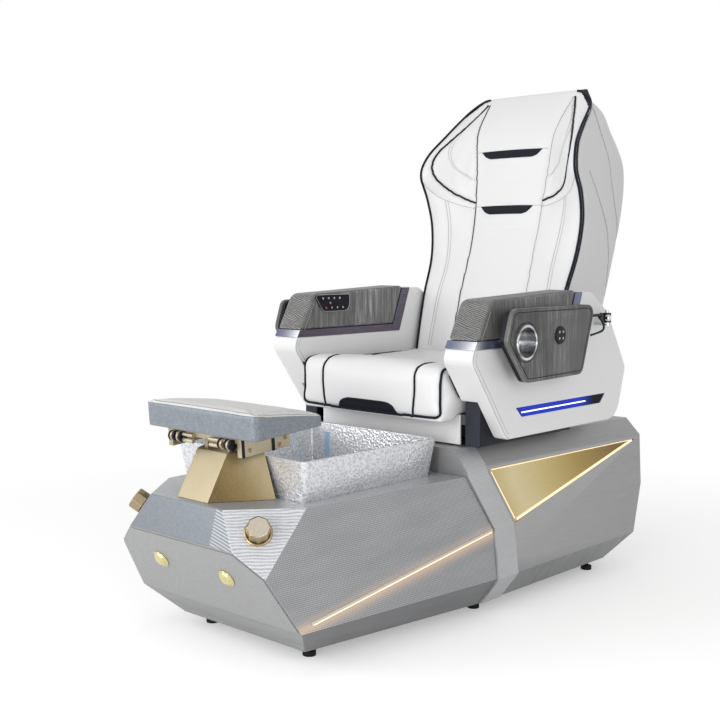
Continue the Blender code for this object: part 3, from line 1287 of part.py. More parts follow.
def make_back_frame():
    """The steel inside the back: a sleeve on the hinge rod, two uprights, and blocks against the pad."""
    frame = rod("back_frame", (-SLEEVE_HALF, HINGE_Y, HINGE_Z), (SLEEVE_HALF, HINGE_Y, HINGE_Z),
                SLEEVE_RADIUS, STEEL)
    bottom = Vector((0, HINGE_Y + SLEEVE_RADIUS - RIM_CLEAR, HINGE_Z))
    top = Vector((0, HINGE_Y + UPRIGHT_LEAN, BACK_TOP_Z - UPRIGHT_DROP))
    across = Vector((0, UPRIGHT_DEPTH / 2, 0))
    for side in (-1, 1):
        x = side * UPRIGHT_HALF_SPAN
        low_x = x - UPRIGHT_WIDTH / 2
        high_x = x + UPRIGHT_WIDTH / 2
        corners = []
        for end in (bottom, top):
            for edge in (low_x, high_x):
                corners.append(end + Vector((edge, 0, 0)) - across)
                corners.append(end + Vector((edge, 0, 0)) + across)
        join_to(frame, hull("upright", corners, STEEL))
        for share in (0.35, 0.80):
            middle = bottom.lerp(top, share)
            block_low = middle.z - BLOCK_HALF_HEIGHT
            block_high = middle.z + BLOCK_HALF_HEIGHT
            edges = (low_x / back_half_width(middle.z), high_x / back_half_width(middle.z))
            front = max(pad_rear(u, block_high) for u in edges) + RUN_GAP
            join_to(frame, box("block", (low_x + BLOCK_INSET, front, block_low),
                               (high_x - BLOCK_INSET, middle.y, block_high), STEEL))
    cut_away(frame, rod("bore", (-HINGE_EAR_HALF, HINGE_Y, HINGE_Z), (HINGE_EAR_HALF, HINGE_Y, HINGE_Z),
                        HINGE_ROD_RADIUS + RUN_GAP, STEEL))
    return frame


# Armrests
def riser(z):
    """Rear edge of the wood cap, leaning back with height."""
    return CAP_REAR_Y + CAP_REAR_LEAN * (z - ARM_TRIM_Z) / (ARM_TOP_Z - ARM_TRIM_Z)


def front_edge(z):
    """Front edge of the trim and the wood cap, leaning back with height."""
    return ARM_FRONT_Y + CAP_FRONT_LEAN * (z - ARM_TRIM_Z) / CAP_HEIGHT


def make_armrests():
    """Left and right armrests: white body, satin trim, wood cap and light bar."""
    top = ARM_TOP_Z - ARM_BACK_DROP
    corners = [(ARM_FRONT_Y, ARM_TRIM_Z), (ARM_FRONT_Y - ARM_KNEE_AHEAD, ARM_TRIM_Z - ARM_KNEE_DROP),
               (ARM_FRONT_Y + ARM_FOOT_BACK, ARM_BOTTOM_Z), (ARM_REAR_Y - ARM_HEEL_FRONT, ARM_BOTTOM_Z),
               (ARM_REAR_Y, ARM_BOTTOM_Z + ARM_REAR_RISE),
               (ARM_REAR_Y - ARM_SHOULDER_FRONT, ARM_TRIM_Z + ARM_SHOULDER_RISE),
               (riser(top) + ARM_BACK_LENGTH, top), (riser(top), top), (riser(ARM_TRIM_Z), ARM_TRIM_Z)]
    turns = (0, ARM_KNEE_ROUND, ARM_FOOT_ROUND, ARM_HEEL_ROUND,
             ARM_REAR_ROUND, ARM_REAR_ROUND, ARM_REAR_ROUND, 0, 0)
    body = [tuple(p) for p in rounded(corners, turns)]
    shell = side_plate("armrest_shell", body, ARM_INNER, ARM_OUTER, WHITE_SHELL)
    cut_away(shell, box("notch", (0, ARM_FRONT_Y - ARM_KNEE_AHEAD - CUT_SPARE, 0),
                        (BRACKET_OUTER + SEAT_GAP, ARM_REAR_Y + CUT_SPARE, BRACKET_TOP_Z + SEAT_GAP), BLACK))
    round_edges(shell, ARM_EDGE_ROUND)
    pocket_floor = ARM_OUTER - ARM_LIGHT_POCKET
    cut_away(shell, side_plate("pocket", light_outline(0.0), pocket_floor, ARM_OUTER + CUT_SPARE, BLACK))
    lug_low = (ARM_OUTER - CUT_SPARE, ARM_PIVOT_Y - LUG_RADIUS, LUG_Z - LUG_THICKNESS)
    lug = box("lug", lug_low, (ARM_PIVOT_X, ARM_PIVOT_Y + LUG_RADIUS, LUG_Z), CHROME)
    tip = rod("lug_tip", (ARM_PIVOT_X, ARM_PIVOT_Y, LUG_Z - LUG_THICKNESS), (ARM_PIVOT_X, ARM_PIVOT_Y, LUG_Z),
              LUG_RADIUS, CHROME)
    pin = rod("pivot_pin", (ARM_PIVOT_X, ARM_PIVOT_Y, LUG_Z - LUG_THICKNESS / 2),
              (ARM_PIVOT_X, ARM_PIVOT_Y, LUG_Z + EYE_HEIGHT + LUG_THICKNESS), PIVOT_PIN_RADIUS, CHROME, 12)
    join_to(shell, lug, tip, pin)
    gap = SEAT_GAP
    trim_top = ARM_TRIM_Z + TRIM_HEIGHT
    band = TRIM_BACK_WIDTH
    strip = [(ARM_FRONT_Y, ARM_TRIM_Z + gap), (riser(ARM_TRIM_Z) - gap, ARM_TRIM_Z + gap),
             (riser(top) - gap, top), (riser(top) - band, top), (riser(trim_top) - band, trim_top),
             (front_edge(trim_top), trim_top)]
    trim = side_plate("armrest_trim", strip, ARM_INNER - TRIM_PROUD, ARM_OUTER + TRIM_PROUD, TRIM)
    nose_z = ARM_TOP_Z - CAP_TOP_FALL
    block = [(front_edge(trim_top), trim_top + gap), (riser(trim_top) - band - gap, trim_top + gap),
             (riser(ARM_TOP_Z) - band - gap, ARM_TOP_Z), (front_edge(nose_z), nose_z)]
    wood = [tuple(p) for p in rounded(block, (0, 0, 0, CAP_ROUND), CAP_ROUND_STEPS)]
    cap = side_plate("armrest_cap", wood, ARM_INNER, ARM_OUTER, WOOD)
    round_edges(cap, EDGE_ROUND, 2, 60)
    light = side_plate("armrest_light", light_outline(-SEAT_GAP), pocket_floor + SEAT_GAP,
                       pocket_floor + ARM_LIGHT_DEPTH, BLUE_LIGHT)
    return [pair(piece) for piece in (shell, trim, cap, light)]


def light_outline(grow):
    """The slanted slot of an armrest light."""
    slant = ARM_LIGHT_HIGH_Z - ARM_LIGHT_LOW_Z
    low_z = ARM_LIGHT_LOW_Z - grow
    high_z = ARM_LIGHT_HIGH_Z + grow
    return [(ARM_LIGHT_FRONT_Y - 2 * grow, high_z), (ARM_LIGHT_FRONT_Y + slant - grow, low_z),
            (ARM_LIGHT_REAR_Y - slant + grow, low_z), (ARM_LIGHT_REAR_Y + 2 * grow, high_z)]


# Trays
TRAY_FACE = TRAY_OUTER + SEAT_GAP


def across_tray(name, start_x, end_x, y, z, radius, finish, segments=28, end_radius=None):
    """A round piece that stands across the tray's face."""
    return rod(name, (start_x, y, z), (end_x, y, z), radius, finish, segments, end_radius)


def make_tray_board():
    """The hanging board, with the cup's hole and a bore for the arm's rod."""
    outline = [(TRAY_FRONT_Y, TRAY_TOP_Z - TRAY_NOSE_DROP), (TRAY_FRONT_Y + TRAY_NOSE_FOOT, TRAY_BOTTOM_Z),
               (TRAY_REAR_Y - TRAY_HEEL, TRAY_BOTTOM_Z + TRAY_HEEL_RISE), (TRAY_REAR_Y, TRAY_TOP_Z),
               (TRAY_FRONT_Y + TRAY_NOSE_TOP, TRAY_TOP_Z)]
    soft = [tuple(p) for p in rounded(outline, [TRAY_CORNER] * len(outline))]
    board = side_plate("tray", soft, TRAY_INNER, TRAY_OUTER, WOOD)
    hole = across_tray("cup_hole", TRAY_INNER - CUT_SPARE, TRAY_OUTER + CUT_SPARE, CUP_Y, CUP_Z,
                       CUP_RADIUS + SEAT_GAP, WOOD)
    bore_front = TRAY_REAR_Y - TRAY_ROD_LENGTH - ROD_END_CLEAR
    bore = rod("rod_bore", (TRAY_AXIS_X, bore_front, TRAY_AXIS_Z),
               (TRAY_AXIS_X, TRAY_REAR_Y + CUT_SPARE, TRAY_AXIS_Z), TRAY_ROD_RADIUS + RUN_GAP, WOOD, 12)
    return cut_away(board, hole, bore)


def make_tray_cup():
    """A thin-walled cup with a flange on the tray's outer face."""
    mouth = TRAY_FACE + CUP_FLANGE
    cup = across_tray("tray_cup", mouth - CUP_DEPTH, mouth, CUP_Y, CUP_Z, CUP_RADIUS, CHROME)
    flange = across_tray("flange", TRAY_FACE, mouth, CUP_Y, CUP_Z, CUP_RADIUS + CUP_FLANGE_WIDTH, CHROME)
    inside = across_tray("inside", mouth - CUP_DEPTH + CUP_WALL, mouth + CUT_SPARE, CUP_Y, CUP_Z,
                         CUP_RADIUS - CUP_WALL, CHROME)
    return cut_away(join_to(cup, flange), inside)


def make_tray_arm():
    """The arm: an eye on the armrest's pin, a strap, and the rod that the board hangs on."""
    eye_low = LUG_Z + SEAT_GAP
    eye_high = LUG_Z + EYE_HEIGHT
    arm = rod("tray_arm", (ARM_PIVOT_X, ARM_PIVOT_Y, eye_low), (ARM_PIVOT_X, ARM_PIVOT_Y, eye_high),
              EYE_RADIUS, BLACK)
    elbow_y = TRAY_REAR_Y + ELBOW_BACK
    at_eye = Vector((ARM_PIVOT_X, ARM_PIVOT_Y - (EYE_RADIUS + PIVOT_PIN_RADIUS) / 2, eye_low + STRAP_HALF))
    at_rod = Vector((TRAY_AXIS_X, elbow_y, TRAY_AXIS_Z))
    corners = []
    for end in (at_eye, at_rod):
        for x in (-STRAP_HALF / 2, STRAP_HALF / 2):
            corners += [end + Vector((x, 0, -STRAP_HALF)), end + Vector((x, 0, STRAP_HALF))]
    join_to(arm, hull("strap", corners, BLACK))
    join_to(arm, rod("tray_rod", (TRAY_AXIS_X, TRAY_REAR_Y - TRAY_ROD_LENGTH, TRAY_AXIS_Z),
                     (TRAY_AXIS_X, elbow_y + STRAP_HALF, TRAY_AXIS_Z), TRAY_ROD_RADIUS, BLACK, 12))
    return cut_away(arm, rod("eye_bore", (ARM_PIVOT_X, ARM_PIVOT_Y, eye_low - CUT_SPARE),
                             (ARM_PIVOT_X, ARM_PIVOT_Y, eye_high + CUT_SPARE),
                             PIVOT_PIN_RADIUS + RUN_GAP, BLACK, 12))


def make_trays():
    """Fold-out trays: each hangs on a rod of its arm, and the arm turns on the armrest's pin."""
    boss = across_tray("tray_boss", TRAY_FACE, TRAY_FACE + BOSS_HEIGHT, BOSS_Y, BOSS_Z, BOSS_RADIUS, BLACK,
                       24, BOSS_RADIUS - BOSS_EDGE)
    return [pair(piece) for piece in (make_tray_board(), make_tray_cup(), boss, make_tray_arm())]


# Keypad on the inner face of the right armrest
def make_keypad():
    """The key panel and its nine push buttons, four above, one between, four below."""
    face_x = -(ARM_INNER - SEAT_GAP)
    outline = [Vector((KEYPAD_FRONT_Y, KEYPAD_TOP_Z)),
               Vector((KEYPAD_FRONT_Y + KEYPAD_SLANT, KEYPAD_BOTTOM_Z)),
               Vector((KEYPAD_REAR_Y, KEYPAD_BOTTOM_Z)), Vector((KEYPAD_REAR_Y, KEYPAD_TOP_Z))]
    turns = (KEYPAD_TOP_CORNER, KEYPAD_LOW_CORNER, KEYPAD_LOW_CORNER, KEYPAD_TOP_CORNER)
    soft = [tuple(p) for p in rounded(outline, turns)]
    middle_z = (KEYPAD_TOP_Z + KEYPAD_BOTTOM_Z) / 2
    first_y = KEYPAD_FRONT_Y + BUTTON_LEAD
    places = [(first_y + BUTTON_PITCH * i, middle_z + BUTTON_ROW) for i in range(4)]
    places.append((first_y + BUTTON_PITCH + BUTTON_SHIFT / 2, middle_z))
    places += [(first_y + BUTTON_SHIFT + BUTTON_PITCH * i, middle_z - BUTTON_ROW) for i in range(4)]
    holes = [circle(place, BUTTON_RADIUS + RUN_GAP) for place in places]
    panel = side_plate("keypad", soft, face_x, face_x + KEYPAD_THICKNESS, BLACK, holes)
    buttons = []
    for number, (y, z) in enumerate(places, start=1):
        start = face_x + BUTTON_TRAVEL + RUN_GAP / 2
        finish = RED if number == STOP_BUTTON else SILVER_BUTTON
        end = start + BUTTON_LENGTH
        buttons.append(rod(f"button_{number}", (start, y, z), (end, y, z), BUTTON_RADIUS, finish, 12))
    return panel, buttons


def build():
    """Make every part, and hang the moving ones on empties at their joints."""
    make_base_frame()
    make_feet()
    make_front_shell()
    make_rear_shell()
    make_recess_panel()
    make_front_panel()
    make_side_light()
    make_bowl()
    make_pedestal()
    make_slide()
    slide = pivot("seat_slide", (0, 0, CARRIAGE_TOP_Z))
    recline = pivot("back_recline", (0, HINGE_Y, HINGE_Z), slide)
    tilt = pivot("footrest_tilt", (0, FOOT_PIN_Y, FOOT_PIN_Z))
    carry(tilt, *make_footrest())
    apron, brackets = make_seat_covers()
    carry(slide, make_carriage(), make_seat_cushion(), apron, *brackets)
    carry(recline, make_back_frame(), make_back_shell(), make_back_pad())
    for piece in make_armrests():
        carry(slide, *piece)
    trays, cups, bosses, arms = make_trays()
    for index, side in enumerate((1, -1)):
        label = ("left", "right")[index]
        swing = pivot(f"tray_swing_{label}", (side * ARM_PIVOT_X, ARM_PIVOT_Y, LUG_Z), slide)
        flip = pivot(f"tray_flip_{label}", (side * TRAY_AXIS_X, TRAY_REAR_Y, TRAY_AXIS_Z), swing)
        carry(swing, arms[index])
        carry(flip, trays[index], cups[index], bosses[index])
    foot, normal = knob_seat()
    for knob, side in zip(make_valve_knob(), (1, -1)):
        turn = pivot(f"{knob.name}_turn", (side * foot.x, foot.y, foot.z))
        carry(turn, knob)
    panel, buttons = make_keypad()
    carry(slide, panel)
    for button in buttons:
        centre = sum((Vector(corner) for corner in button.bound_box), Vector()) / 8
        carry(pivot(f"{button.name}_press", centre, slide), button)


build()
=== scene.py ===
"""Looks of the pedicure chair: leather, finishes, light and camera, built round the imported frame."""
import json
import math

import bpy
import numpy as np
from mathutils import Matrix, Vector
from mathutils.bvhtree import BVHTree

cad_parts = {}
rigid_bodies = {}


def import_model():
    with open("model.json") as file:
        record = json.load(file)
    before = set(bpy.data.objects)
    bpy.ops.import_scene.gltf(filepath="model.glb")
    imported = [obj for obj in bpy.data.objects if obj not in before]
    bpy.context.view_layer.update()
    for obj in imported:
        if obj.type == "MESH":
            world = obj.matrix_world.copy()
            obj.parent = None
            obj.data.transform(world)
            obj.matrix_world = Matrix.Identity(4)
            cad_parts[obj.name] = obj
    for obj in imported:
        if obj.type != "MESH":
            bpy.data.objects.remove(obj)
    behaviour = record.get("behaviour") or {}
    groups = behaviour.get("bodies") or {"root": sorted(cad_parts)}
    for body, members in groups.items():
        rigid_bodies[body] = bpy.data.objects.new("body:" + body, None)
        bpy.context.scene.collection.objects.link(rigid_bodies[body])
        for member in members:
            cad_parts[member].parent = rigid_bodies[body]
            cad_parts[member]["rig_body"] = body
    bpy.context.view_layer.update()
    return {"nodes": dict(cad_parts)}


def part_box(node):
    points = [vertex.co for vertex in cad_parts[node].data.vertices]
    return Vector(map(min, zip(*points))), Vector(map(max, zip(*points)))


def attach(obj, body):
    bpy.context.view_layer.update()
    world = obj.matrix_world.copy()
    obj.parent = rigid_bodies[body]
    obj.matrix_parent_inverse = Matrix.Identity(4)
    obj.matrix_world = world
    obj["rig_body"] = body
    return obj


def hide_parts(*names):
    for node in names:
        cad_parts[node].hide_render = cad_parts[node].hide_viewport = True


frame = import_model()
NODES = frame["nodes"]
SIDES = (("left", 1), ("right", -1))

# Camera of the photograph
EYE = Vector((2.021, -2.301, 0.933))
AIM = Vector((0.0, -0.14, 0.6533))
LENS = 56.95
SENSOR_WIDTH = 36

# The back: height, hinge and the stations of its surfaces, as in the solids
BACK_LOW = 0.606
BACK_TALL = 0.804
BACK_TOP = BACK_LOW + BACK_TALL
HINGE_Y = 0.430
CENTRE_LINE = ((0.0, -0.046), (0.24, -0.002), (0.49, 0.060), (0.70, 0.090), (0.85, 0.110), (1.0, 0.198))
EDGE_LINE = ((0.0, -0.053), (0.24, -0.010), (0.39, 0.036), (0.515, 0.048), (0.615, 0.030), (0.70, 0.0),
             (0.775, 0.022), (0.85, 0.082), (0.94, 0.162), (1.0, 0.202))
REAR_LINE = ((0.0, 0.160), (0.14, 0.230), (0.365, 0.282), (0.615, 0.310), (0.765, 0.302), (0.91, 0.270),
             (1.0, 0.244))
WIDTH_LINE = ((0.0, 0.254), (0.28, 0.258), (0.70, 0.281), (0.85, 0.249), (0.94, 0.226), (1.0, 0.185))

# Seams of the back's front, as distance from the middle and height
CENTRE_SEAM = ((0.126, 0.615), (0.120, 0.80), (0.116, 0.95), (0.121, 1.075), (0.131, 1.20), (0.138, 1.27),
               (0.146, 1.33), (0.152, 1.392))
HEAD_SEAM = ((0.158, 1.390), (0.196, 1.318), (0.234, 1.250), (0.245, 1.205), (0.236, 1.163), (0.206, 1.124),
             (0.165, 1.099), (0.122, 1.084))
SHOULDER_SEAM = ((0.272, 1.140), (0.240, 1.106), (0.199, 1.086), (0.155, 1.073), (0.121, 1.066))
CHANNEL_SEAM = ((0.216, 1.092), (0.203, 1.00), (0.193, 0.90), (0.198, 0.80), (0.204, 0.65))
WING_STITCH = ((0.168, 1.362), (0.190, 1.325), (0.206, 1.275), (0.206, 1.230), (0.188, 1.188), (0.137, 1.152))
SLOTS_OF_BACK = ((0.109, 0.086, 1.235, 1.213), (0.094, 0.070, 1.070, 1.045))

# Seat cushion and footrest pad, as in the solids
SEAT_HALF = 0.248
SEAT_FRONT = -0.112
SEAT_REAR = 0.372
SEAT_LOW = 0.522
SEAT_HIGH = 0.642
FOOTPAD_HALF = 0.195
FOOTPAD_FRONT = -0.677
FOOTPAD_REAR = -0.465
FOOTPAD_LOW = 0.5275
FOOTPAD_FRONT_THICK = 0.063
FOOTPAD_REAR_THICK = 0.025

# Lines on the seat and the back's shell, the front edge of an armrest's shell and the tray arm's wire
SEAT_PIPING = ((0.243, 0.30, 0.640), (0.244, 0.10, 0.640), (0.245, -0.02, 0.648), (0.246, -0.075, 0.650),
               (0.247, -0.100, 0.640), (0.248, -0.110, 0.61), (0.248, -0.1105, 0.555), (0.246, -0.110, 0.534),
               (0.236, -0.111, 0.523), (0.205, -0.1115, 0.5185), (0.10, -0.1135, 0.5165),
               (0.0, -0.114, 0.516))
SEAT_CHANNEL = ((0.156, -0.113, 0.518), (0.163, -0.114, 0.58), (0.163, -0.113, 0.615), (0.162, -0.098, 0.644),
                (0.167, -0.06, 0.654), (0.178, -0.01, 0.650), (0.195, 0.047, 0.640), (0.212, 0.13, 0.632),
                (0.224, 0.22, 0.634), (0.233, 0.34, 0.637))
SHELL_SEAMS = (
    ((0.602, 1.373), (0.613, 1.268), (0.622, 1.163), (0.646, 1.091), (0.682, 1.014), (0.702, 0.949)),
    ((0.507, 1.161), (0.556, 1.096), (0.616, 1.013), (0.638, 0.961), (0.653, 0.905), (0.66, 0.80)))
SHELL_EDGE = (((-0.1152, 0.6945), (0.939, -0.344)), ((-0.1202, 0.6830), (0.939, -0.344)),
              ((-0.1218, 0.6676), (0.990, 0.136)), ((-0.1161, 0.6532), (0.811, 0.585)),
              ((-0.0975, 0.6275), (0.811, 0.585)), ((-0.0560, 0.5700), (0.811, 0.585)),
              ((0.0080, 0.4814), (0.811, 0.585)), ((0.0300, 0.4625), (0.50, 0.95)))
ARM_LINK = ((0.4005, 0.372, 0.760), (0.4000, 0.392, 0.745), (0.3985, 0.402, 0.732), (0.3975, 0.396, 0.722),
            (0.3965, 0.366, 0.716), (0.3965, 0.340, 0.7125))

# Base: corners of a side pocket, the nose panel's normal, a knob's axis and the heights where the seam kinks
POCKET_CORNERS = ((0.2935, 0.0350, 0.3765), (0.3205, 0.1125, 0.2372), (0.3227, 0.7000, 0.3785))
PANEL_NORMAL = Vector((0, -0.8586, -0.5126))
KNOB_AXIS = Vector((0.629, -0.527, 0.571))
KINK_HIGH = 0.372
KINK_LOW = 0.229

# The light bar's line, for the glow painted on the base's sides: a place's distance from it is its y and z
# times these two, plus the third
LIGHT_BAR_LINE = (-0.1704, 0.9854, -0.2164)

# Footrest: its pin, the slope of its pad at rest and the rods ahead of its carrier
PIN_Y = -0.612
PIN_Z = 0.5
FOOTPAD_DEGREES = 4.3
RODS_Y = -0.6685

# Merging of CAD meshes, cloth filling, and how near to a seam it is held
MERGE_GAP = 2e-5
FLAT_DEGREES = 0.6
CLOTH_FRAMES = 20
CLOTH = {"quality": 5, "mass": 0.3, "tension_stiffness": 12, "compression_stiffness": 12,
         "shear_stiffness": 5, "bending_stiffness": 0.4, "use_pressure": True}
SEAM_HOLD = 0.0042

# Fine seams, and half the gap of a double stitch
THIN_SEAM = 0.0007
STITCH = 0.0045

# Armrests and trays: outer and inner side of a shell, the board's rear layer, and the screws on its boss
SHELL_OUTER = 0.3529
SHELL_INNER = 0.2631
TRAY_LAYER = 0.4005
BOSS_FACE = 0.4175
BOSS_Y = 0.165
BOSS_Z = 0.723
BOSS_SCREWS = 0.0115

WHITE = (1, 1, 1, 1)
FLOOR_GREY = (0.84, 0.84, 0.84, 1)


def pick(piece):
    """Select one object alone and make it the active one."""
    bpy.ops.object.select_all(action="DESELECT")
    piece.select_set(True)
    bpy.context.view_layer.objects.active = piece


def placed(name, data):
    """A new object in the scene."""
    piece = bpy.data.objects.new(name, data)
    bpy.context.collection.objects.link(piece)
    return piece


def edit(piece, steps, test=None):
    """Run edit-mode steps on the faces whose middle and normal pass the test, or on all faces."""
    pick(piece)
    bpy.context.tool_settings.mesh_select_mode = (False, False, True)
    mesh = piece.data
    for items in (mesh.vertices, mesh.edges, mesh.polygons):
        items.foreach_set("select", [False] * len(items))
    for face in mesh.polygons:
        face.select = test is None or bool(test(face.center, face.normal))
    bpy.ops.object.mode_set(mode="EDIT")
    for step, values in steps:
        step(**values)
    bpy.ops.object.mode_set(mode="OBJECT")


def insets(*steps):
    """Edit steps that draw faces in, each by a width and a depth."""
    return [(bpy.ops.mesh.inset, {"thickness": width, "depth": depth}) for width, depth in steps]


def applied(piece, kind, **settings):
    """Add a modifier with its settings, and apply it."""
    pick(piece)
    modifier = piece.modifiers.new(kind.lower(), kind)
    for key, value in settings.items():
        setattr(modifier, key, value)
    bpy.ops.object.modifier_apply(modifier=modifier.name)


def round_edges(piece, width, segments=2, angle=28, smooth=35):
    """Round the sharp edges and smooth the faces between them, with flat faces kept flat."""
    if width:
        applied(piece, "BEVEL", width=width, segments=segments, limit_method="ANGLE",
                angle_limit=math.radians(angle))
    pick(piece)
    bpy.ops.object.shade_smooth_by_angle(angle=math.radians(smooth))
    applied(piece, "WEIGHTED_NORMAL", keep_sharp=True)


def copy_of(node):
    """A copy of a CAD node's mesh, merged, with its flat triangles joined to whole faces."""
    piece = placed(node + "_finished", NODES[node].data.copy())
    piece.data.materials.clear()
    pick(piece)
    bpy.ops.mesh.customdata_custom_splitnormals_clear()
    edit(piece, ((bpy.ops.mesh.remove_doubles, {"threshold": MERGE_GAP}),
                 (bpy.ops.mesh.dissolve_limited, {"angle_limit": math.radians(FLAT_DEGREES)})))
    return piece


def apply_place(piece, name):
    """Name a new piece, and put its place, turn and size into its mesh."""
    piece.name = name
    pick(piece)
    bpy.ops.object.transform_apply(location=True, rotation=True, scale=True)
    return piece


def cylinder(name, at, axis, radius, depth, sides):
    """A plain round bar as a start."""
    bpy.ops.object.select_all(action="DESELECT")
    bpy.ops.mesh.primitive_cylinder_add(vertices=sides, radius=radius, depth=depth, location=at,
                                        rotation=axis.to_track_quat("Z", "Y").to_euler())
    return apply_place(bpy.context.active_object, name)


def bar(name, first, second):
    """A plain block between two opposite corners as a start."""
    first = Vector(first)
    second = Vector(second)
    bpy.ops.object.select_all(action="DESELECT")
    bpy.ops.mesh.primitive_cube_add(size=1, location=(first + second) / 2,
                                    scale=[abs(part) for part in second - first])
    return apply_place(bpy.context.active_object, name)


def paint(piece, base, *rules):
    """Give a piece its finish, and other finishes to the faces that pass a rule's test."""
    piece.data.materials.append(base)
    for finish, test in rules:
        piece.data.materials.append(finish)
    for face in piece.data.polygons:
        face.material_index = 0
        for number, (finish, test) in enumerate(rules, 1):
            if test(face.center, face.normal):
                face.material_index = number


def fitting(name, at, axis, size, steps, finish, rounding, both_ends=False):
    """A fitting of a radius, a depth and a number of sides, with its outer end drawn in by steps."""
    axis = Vector(axis)

    def end(middle, normal):
        facing = normal.dot(axis)
        return (abs(facing) if both_ends else facing) > 0.9

    piece = cylinder(name, at, axis, *size)
    edit(piece, insets(*steps), end)
    paint(piece, finish)
    round_edges(piece, *rounding)
    return piece


def carry(piece, body):
    """Let a piece move with a body."""
    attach(piece, body)
    return piece


def stand_for(piece, node):
    """Let a piece take the place of a CAD node, on the same body."""
    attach(piece, NODES[node]["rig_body"])
    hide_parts(node)
    return piece


def softened(node, finish, width, segments=2, angle=28, rules=()):
    """A copy of a node with rounded edges that stands for it."""
    piece = copy_of(node)
    paint(piece, finish, *rules)
    round_edges(piece, width, segments, angle)
    return stand_for(piece, node)


def rows(items, key):
    """A measure of all points of a mesh, as rows of three numbers."""
    values = np.empty(len(items) * 3)
    items.foreach_get(key, values)
    return values.reshape(-1, 3)


def coordinates(piece):
    return rows(piece.data.vertices, "co")


def put_points(piece, points):
    """Write rows of numbers back as the mesh's points."""
    piece.data.vertices.foreach_set("co", np.asarray(points, np.float32).ravel())
    piece.data.update()


def new_mesh(name, points, faces):
    """An object from points and faces."""
    mesh = bpy.data.meshes.new(name)
    mesh.from_pydata([tuple(point) for point in points], [], faces)
    mesh.update()
    return placed(name, mesh)


def block_grid(name, counts, shape):
    """A closed block of small faces whose points a formula puts in place, and their places in the block."""
    across, deep, tall = counts
    index = {}
    shares = []
    faces = []

    def point(i, j, k):
        if (i, j, k) not in index:
            index[(i, j, k)] = len(shares)
            shares.append((2 * i / across - 1, 2 * j / deep - 1, 2 * k / tall - 1))
        return index[(i, j, k)]

    def face(*corners):
        faces.append(tuple(point(*corner) for corner in corners))

    for i in range(across):
        for j in range(deep):
            face((i, j, 0), (i, j + 1, 0), (i + 1, j + 1, 0), (i + 1, j, 0))
            face((i, j, tall), (i + 1, j, tall), (i + 1, j + 1, tall), (i, j + 1, tall))
    for i in range(across):
        for k in range(tall):
            face((i, 0, k), (i + 1, 0, k), (i + 1, 0, k + 1), (i, 0, k + 1))
            face((i, deep, k), (i, deep, k + 1), (i + 1, deep, k + 1), (i + 1, deep, k))
    for j in range(deep):
        for k in range(tall):
            face((0, j, k), (0, j, k + 1), (0, j + 1, k + 1), (0, j + 1, k))
            face((across, j, k), (across, j + 1, k), (across, j + 1, k + 1), (across, j, k + 1))
    return new_mesh(name, [shape(*share) for share in shares], faces), np.array(shares)


def smooth_line(points, spacing=0.006):
    """A smooth line through the given points."""
    given = np.array(points, float)
    ends = np.vstack((2 * given[0] - given[1], given, 2 * given[-1] - given[-2]))
    line = []
    for a, b, c, d in zip(ends, ends[1:], ends[2:], ends[3:]):
        steps = max(2, int(np.linalg.norm(c - b) / spacing))
        for t in np.arange(steps) / steps:
            line.append(0.5 * (2 * b + (c - a) * t + (2 * a - 5 * b + 4 * c - d) * t * t
                               + (3 * b - a - 3 * c + d) * t ** 3))
    line.append(given[-1])
    return np.array(line)


def seam_gap(points, lines):
    """Each point's distance from the nearest seam line."""
    gap = np.full(len(points), 1.0)
    for line in lines:
        thin = line[::2] if len(line) > 8 else line
        for start, end in zip(thin, thin[1:]):
            along = end - start
            share = np.clip((points - start) @ along / (along @ along), 0, 1)
            np.minimum(gap, np.linalg.norm(points - start - share[:, None] * along, axis=1), out=gap)
    return gap


def swell(piece, held, pressure, cap):
    """Fill a leather cover by cloth simulation: held points stay, and no point moves more than the cap."""
    start = coordinates(piece)
    pins = piece.vertex_groups.new(name="held")
    pins.add([int(number) for number in np.flatnonzero(held)], 1.0, "REPLACE")
    cloth = piece.modifiers.new("filling", "CLOTH")
    for key, value in CLOTH.items():
        setattr(cloth.settings, key, value)
    cloth.settings.vertex_group_mass = pins.name
    cloth.settings.uniform_pressure_force = pressure
    cloth.settings.effector_weights.gravity = 0
    cloth.collision_settings.use_collision = False
    cloth.point_cache.frame_end = CLOTH_FRAMES
    scene = bpy.context.scene
    for number in range(1, CLOTH_FRAMES + 1):
        scene.frame_set(number)
    pick(piece)
    bpy.ops.object.modifier_apply(modifier=cloth.name)
    scene.frame_set(1)
    moved = coordinates(piece) - start
    length = np.linalg.norm(moved, axis=1)
    share = cap * np.tanh(length / cap) / np.maximum(length, 1e-9)
    put_points(piece, start + moved * share[:, None])
    piece.vertex_groups.clear()


def subdivide(piece):
    """One step of smooth subdivision."""
    applied(piece, "SUBSURF", levels=1, render_levels=1)
    bpy.ops.object.shade_smooth()


def sew(piece, seams, depth, width):
    """Pull the surface in along seams."""
    points = coordinates(piece)
    pull = depth * np.exp(-(seam_gap(points, seams) / width) ** 2)
    put_points(piece, points - rows(piece.data.vertex_normals, "vector") * pull[:, None])


def surface_of(piece):
    """A search tree for a piece's surface."""
    return BVHTree.FromObject(piece, bpy.context.evaluated_depsgraph_get())


def laid_on(surface, line, lift):
    """The line's points moved onto a surface and raised from it."""
    laid = []
    for point in line:
        at, normal, number, gap = surface.find_nearest(Vector(point))
        laid.append(at + normal * lift)
    return laid


